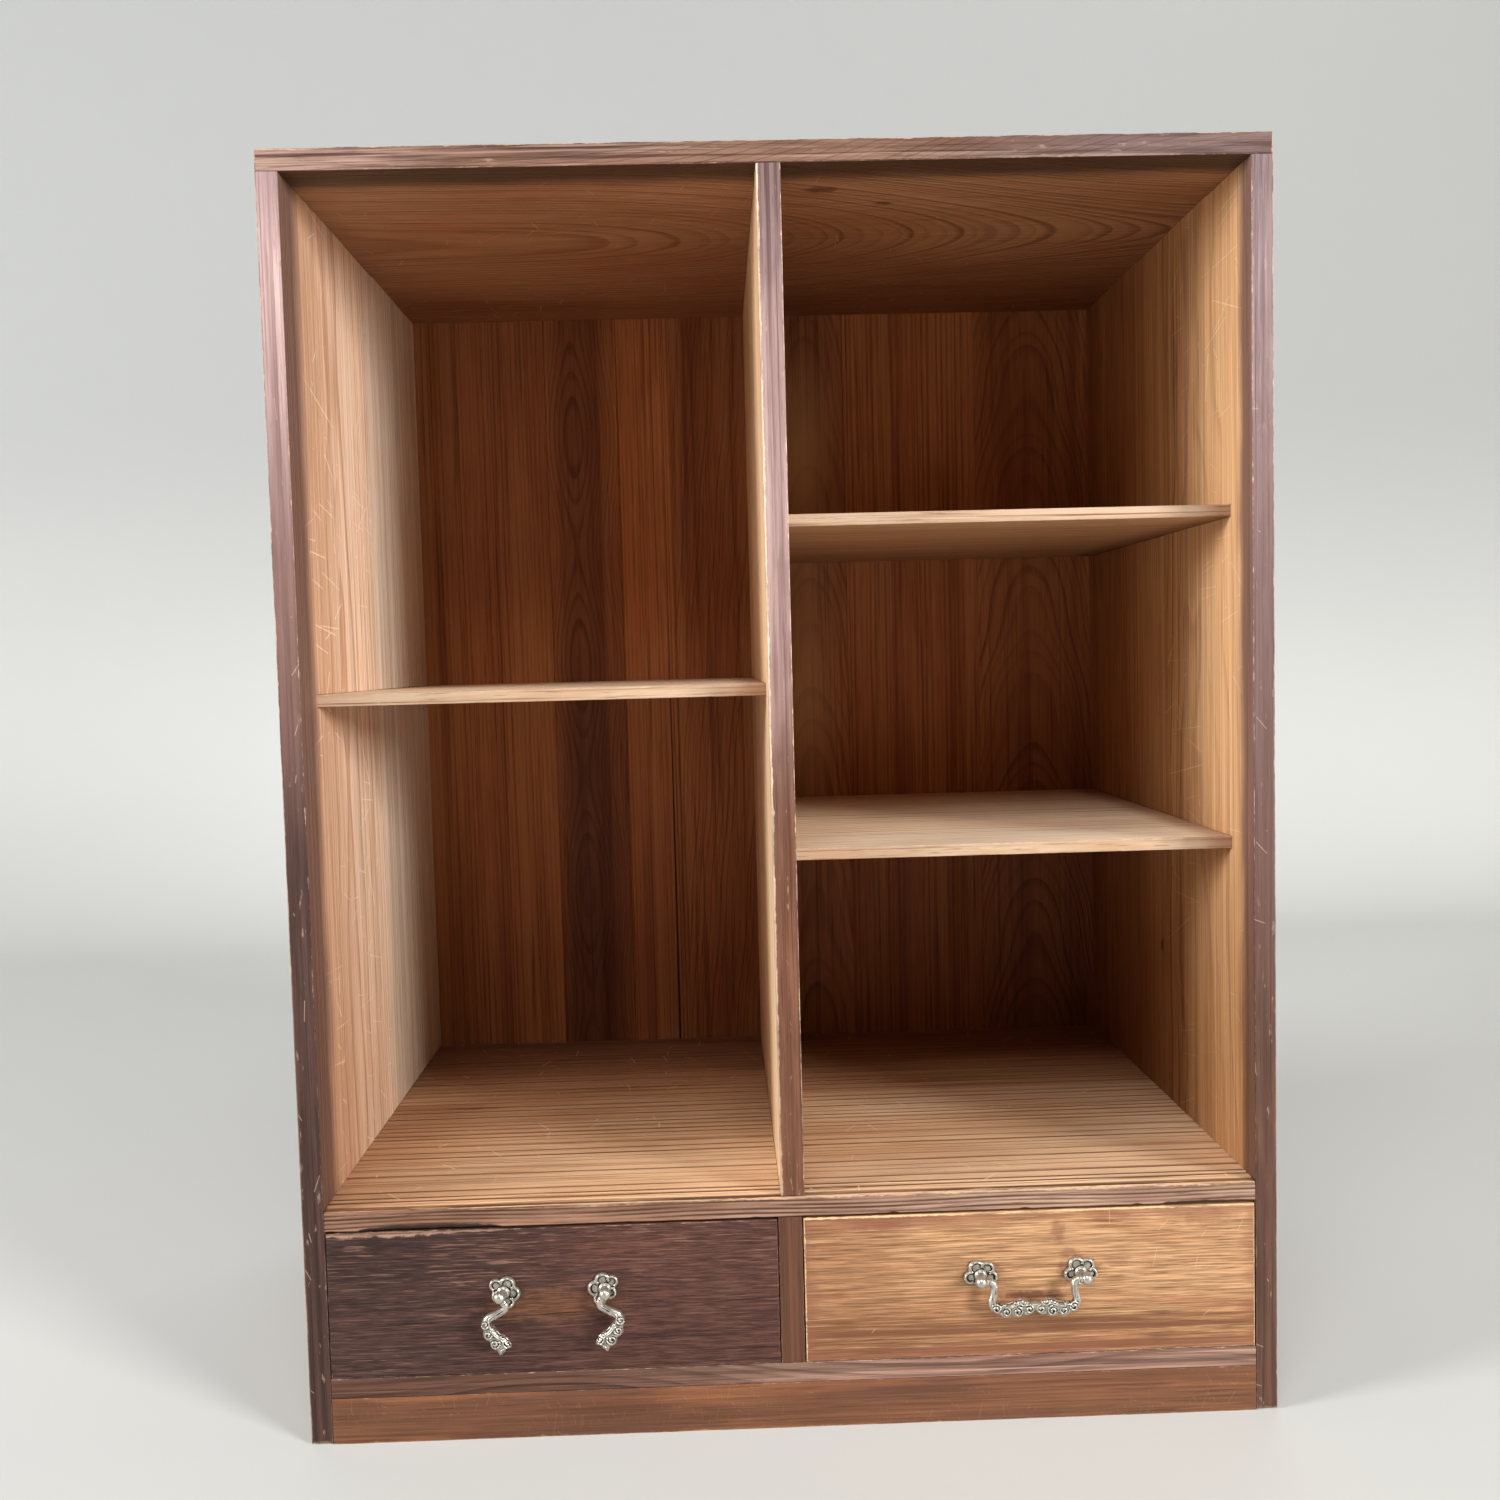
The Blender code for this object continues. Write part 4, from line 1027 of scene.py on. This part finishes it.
def scroll(centre, size, turns, start, hand, thick):
    """Points and radii of a spiral relief in the plane of the grip, winding in to its eye."""
    points, radii = [], []
    count = 26
    for k in range(count):
        share = k / (count - 1)
        angle = start + hand * tau * turns * share
        reach = size * (1 - WOUND_IN * share)
        points.append(Vector((centre[0] + reach * cos(angle), 0.0, centre[1] + reach * sin(angle))))
        radii.append(thick * (0.75 + 0.5 * share))
    return points, radii


# Relief is laid on a grip as it is seen from a little above, in front and behind, and on a rosette as it is
# seen straight on
DOWN = radians(24)
GRIP_SIGHT = (Vector((0.0, cos(DOWN), -sin(DOWN))), Vector((0.0, -cos(DOWN), -sin(DOWN))))
ROSETTE_SIGHT = (Vector((0.0, 1.0, 0.0)),)

# Scrolls of half a grip: place from the middle and below the pivot, size, turns, start, hand
HALF_SCROLLS = (
    ((0.0042, -0.0212), 0.0031, 1.3, radians(110), 1),
    ((0.0124, -0.0228), 0.0037, 1.4, radians(95), 1),
    ((0.0206, -0.0228), 0.0034, 1.4, radians(70), 1),
    ((0.0278, -0.0202), 0.0037, 1.5, radians(30), 1),
    ((0.0074, -0.0152), 0.0024, 1.2, radians(210), -1),
    ((0.0137, -0.0154), 0.0024, 1.2, radians(10), 1),
    ((0.0222, -0.0168), 0.0020, 1.1, radians(20), 1),
)

# Raised lines of half a grip that run on up the arm
HALF_LINES = (
    (
        (0.0034, -0.0164), (0.0060, -0.0128), (0.0105, -0.0119), (0.0150, -0.0126), (0.0190, -0.0146),
        (0.0240, -0.0143), (0.0272, -0.0110), (0.0274, -0.0040),
    ),
    (
        (0.0036, -0.0176), (0.0080, -0.0184), (0.0112, -0.0174), (0.0164, -0.0192), (0.0198, -0.0190),
        (0.0250, -0.0180), (0.0290, -0.0158), (0.0296, -0.0110), (0.0292, -0.0040),
    ),
)

# Petals of a rosette: degrees round from the right, distance of the middle, radius
PETALS = (
    (-8, 0.0076, 0.0047), (48, 0.0068, 0.0056), (118, 0.0066, 0.0059), (188, 0.0076, 0.0049),
    (270, 0.0046, 0.0046),
)


def petal_relief():
    """A rolled edge round the outside of each petal, in front of the wood."""
    made = []
    for turn, offset, radius in PETALS:
        points = []
        for k in range(-10, 11):
            angle = radians(turn + 11.5 * k)
            x = offset * cos(radians(turn)) + PETAL_ROLL * radius * cos(angle)
            z = offset * sin(radians(turn)) + PETAL_ROLL * radius * sin(angle)
            points.append(Vector((x, 0.0, z)))
        made.append((points, [PETAL_THICK] * len(points)))
    return made


def flowing(corners, thick, steps=6):
    """Points and radii of a smooth line through corners in the plane of the grip, thinning to both ends."""
    corners = [Vector((x, 0.0, z)) for x, z in corners]
    ends = [2 * corners[0] - corners[1], *corners, 2 * corners[-1] - corners[-2]]
    points = []
    for a, b, c, d in zip(ends, ends[1:], ends[2:], ends[3:]):
        bend, twist = 2 * a - 5 * b + 4 * c - d, 3 * b - a - 3 * c + d
        for k in range(steps):
            t = k / steps
            points.append((2 * b + (c - a) * t + bend * t**2 + twist * t**3) / 2)
    points.append(corners[-1])
    last = len(points) - 1
    return points, [thick * (0.6 + 0.4 * sin(pi * k / last)) for k in range(last + 1)]


def grip_relief(sides):
    """Scrolls and lines for the halves of a grip on the given sides of its middle."""
    tubes = [scroll(*curl, SCROLL_THICK) for curl in HALF_SCROLLS]
    tubes += [flowing(line, LINE_THICK) for line in HALF_LINES]
    made = []
    for sign in sides:
        made += [([Vector((sign * p.x, p.y, p.z)) for p in points], radii) for points, radii in tubes]
    return made


def unbroken(points, radii, leap=0.002):
    """Split a laid line where it leaps from one part of a casting to another."""
    runs = [[]]
    for point, radius in zip(points, radii):
        if runs[-1] and (point - runs[-1][-1][0]).length > leap:
            runs.append([])
        runs[-1].append((point, radius))
    return [tuple(zip(*run)) for run in runs if len(run) > 2]


def cast(node, material, relief=(), place=None, sight=(), voxel=0.00024):
    """A casting in place of a CAD node: its solid with the relief laid on its skin and melted into it."""
    bm = polygons(node)
    skin = BVHTree.FromBMesh(bm)
    for toward in sight:
        for points, radii in relief:
            laid = []
            for point in points:
                spot = place @ point
                hit = skin.ray_cast(spot - toward * RAY_START, toward)[0]
                laid.append(hit or skin.find_nearest(spot)[0])
            for run in unbroken(laid, radii):
                tube(bm, *run)
    rough = to_object(node + "_rough", bm, material)
    remesh = rough.modifiers.new("melt", "REMESH")
    remesh.mode = "VOXEL"
    remesh.voxel_size = voxel
    graph = bpy.context.evaluated_depsgraph_get()
    mesh = bpy.data.meshes.new_from_object(rough.evaluated_get(graph))
    bpy.data.objects.remove(rough, do_unlink=True)
    soften(mesh)
    mesh.shade_smooth()
    mesh.materials.clear()
    mesh.materials.append(material)
    piece = bpy.data.objects.new(node + "_cast", mesh)
    bpy.context.scene.collection.objects.link(piece)
    settle(piece, node)


def soften(mesh, passes=2, spread=14):
    """Smooth the voxel steps, and keep how hollow each point is as an attribute."""
    points = np.empty(len(mesh.vertices) * 3)
    mesh.vertices.foreach_get("co", points)
    points = points.reshape(-1, 3)
    ends = np.empty(len(mesh.edges) * 2, dtype=np.int64)
    mesh.edges.foreach_get("vertices", ends)
    ends = ends.reshape(-1, 2)
    degree = np.bincount(ends.ravel(), minlength=len(points)).clip(1)[:, None]

    def averaged(values):
        total = np.zeros_like(values)
        np.add.at(total, ends[:, 0], values[ends[:, 1]])
        np.add.at(total, ends[:, 1], values[ends[:, 0]])
        return (values + total / degree) / 2

    for _ in range(passes):
        points = averaged(points)
    mesh.vertices.foreach_set("co", points.ravel())
    mesh.update()
    normals = np.empty(len(mesh.vertices) * 3)
    mesh.vertices.foreach_get("normal", normals)
    wide = points
    for _ in range(spread):
        wide = averaged(wide)
    hollow = ((wide - points) * normals.reshape(-1, 3)).sum(1) / HOLLOW_DEPTH
    hollow = averaged(averaged(hollow[:, None]))[:, 0]
    mesh.attributes.new("hollow", "FLOAT", "POINT").data.foreach_set("value", hollow)


def pewter():
    graph = Graph("pewter")
    cloud = graph.noise(graph.stretch((420.0, 420.0, 420.0)), 3.0, 0.6)
    grime = graph.shaken(graph.attribute("hollow"), cloud, 1.1)
    dark = graph.ease(grime, -0.2, 0.6)
    graph.shader.inputs["Metallic"].default_value = 0.85
    graph.feed(graph.shader.inputs["Roughness"], graph.ease(grime, -0.5, 0.7, 0.32, 0.6))
    graph.bump(cloud, 0.0001, 0.5)
    return graph.paint(graph.mix(dark, srgb(197, 191, 179), srgb(38, 31, 24)))


def make_pulls():
    material = pewter()
    pivot = Matrix.Translation(JOINTS["right_bail_swing"]["pos_m"])
    cast("right_drawer_bail", material, grip_relief((-1, 1)), pivot, GRIP_SIGHT)
    posts = [Vector(place) for place in POSTS]
    reach = (posts[1] - posts[0]).x / 2
    for side, sign, post in (("left", -1, posts[0]), ("right", 1, posts[1])):
        joint = JOINTS[f"left_pull_{side}_half_swing"]
        axis = Vector(joint["axis"])
        turn = Matrix.Rotation(atan2(axis.z, -axis.x), 4, "Y")
        place = Matrix.Translation(joint["pos_m"]) @ turn @ Matrix.Translation((-sign * reach, 0.0, 0.0))
        cast(f"left_drawer_{side}_half_bail", material, grip_relief((sign,)), place, GRIP_SIGHT)
        place = Matrix.Translation((post.x, FRONT, post.z)) @ turn
        cast(f"left_drawer_{side}_rosette", material, petal_relief(), place, ROSETTE_SIGHT)
        place = Matrix.Translation((BAIL_X + sign * reach, FRONT, PULL_Z))
        cast(f"right_drawer_{side}_rosette", material, petal_relief(), place, ROSETTE_SIGHT)
        for word in ("left", "right"):
            cast(f"{word}_drawer_{side}_post", material)


# Stage, light and camera


def sweep_paint():
    """Pale matt paint, a shade deeper where the sweep stands up behind the object."""
    graph = Graph("sweep_paint")
    graph.shader.inputs["Roughness"].default_value = 0.8
    cloud = graph.noise(graph.stretch((1.5, 1.5, 1.5)), 3.0)
    ground = graph.mix(cloud, srgb(222, 222, 218), srgb(216, 216, 212))
    return graph.paint(graph.mix(graph.ease(graph.z, 0.0, 1.2), ground, srgb(178, 179, 177)))


def make_stage():
    """A pale floor that sweeps up into a backdrop."""
    wide, near, far, height, bend = 6.0, -5.0, 2.2, 4.0, 0.6
    profile = [(near, 0.0), (far - bend, 0.0)]
    for k in range(1, 13):
        angle = pi / 2 * k / 12
        profile.append((far - bend + bend * sin(angle), bend - bend * cos(angle)))
    profile.append((far, height))
    bm = bmesh.new()
    rows = [[bm.verts.new((x, y, z)) for y, z in profile] for x in (-wide, wide)]
    for k in range(len(profile) - 1):
        bm.faces.new((rows[0][k], rows[1][k], rows[1][k + 1], rows[0][k + 1]))
    sweep = to_object("studio_sweep", bm, sweep_paint())
    sweep.data.shade_smooth()


def area_light(name, place, target, size, power, tone=(1.0, 1.0, 1.0)):
    lamp = bpy.data.lights.new(name, "AREA")
    lamp.shape = "RECTANGLE"
    lamp.size, lamp.size_y = size
    lamp.energy = power
    lamp.color = tone
    light = bpy.data.objects.new(name, lamp)
    light.location = place
    light.rotation_euler = (Vector(target) - Vector(place)).to_track_quat("-Z", "Y").to_euler()
    bpy.context.scene.collection.objects.link(light)


def make_light():
    world = bpy.data.worlds.new("studio")
    world.use_nodes = True
    background = world.node_tree.nodes["Background"]
    background.inputs["Color"].default_value = (0.94, 0.97, 1.0, 1.0)
    background.inputs["Strength"].default_value = 0.08
    bpy.context.scene.world = world
    middle = Vector((0.0, 0.0, 0.45))
    lamps = (
        # name, degrees to the right, degrees up, distance, size, level, tone
        ("key", 46.5, 13.5, 5.4, (1.4, 1.4), 0.93, (1.0, 0.99, 0.975)),
        ("side", -69, 14, 5.0, (1.3, 1.3), 0.84, (0.985, 0.99, 1.0)),
        ("above", -8, 47, 4.2, (2.4, 2.0), 0.45, (1.0, 1.0, 1.0)),
        ("rear", 160, 40, 3.4, (2.0, 2.0), 0.3, (1.0, 1.0, 1.0)),
    )
    for name, side, rise, distance, size, level, tone in lamps:
        flat = cos(radians(rise))
        toward = Vector((flat * sin(radians(side)), -flat * cos(radians(side)), sin(radians(rise))))
        area_light(name, middle + toward * distance, middle, size, level * (pi * distance) ** 2, tone)


def make_camera():
    """The photograph's camera: 34.8 mm on a 36 mm square, a metre from the front, turned by small angles."""
    pitch, yaw, roll = -0.0612, -0.0230, 0.0256
    turn = Matrix.Rotation(yaw, 3, "Z") @ Matrix.Rotation(pitch, 3, "X") @ Matrix.Rotation(roll, 3, "Y")
    right, ahead, up = turn.col[0], turn.col[1], turn.col[2]
    place = Vector((-0.0459, FRONT - 1.0166, 0.5544))
    lens = bpy.data.cameras.new("photo_camera")
    lens.lens = 34.8
    lens.sensor_width = 36.0
    camera = bpy.data.objects.new("photo_camera", lens)
    axes = Matrix((right, up, -ahead)).transposed()
    camera.matrix_world = Matrix.Translation(place) @ axes.to_4x4()
    bpy.context.scene.collection.objects.link(camera)
    bpy.context.scene.camera = camera


make_sides()
make_top()
make_divider()
make_shelves()
make_floor()
make_back()
make_base()
make_drawer_fronts()
make_pulls()
make_stage()
make_light()
make_camera()
bpy.context.scene.view_settings.view_transform = "Standard"
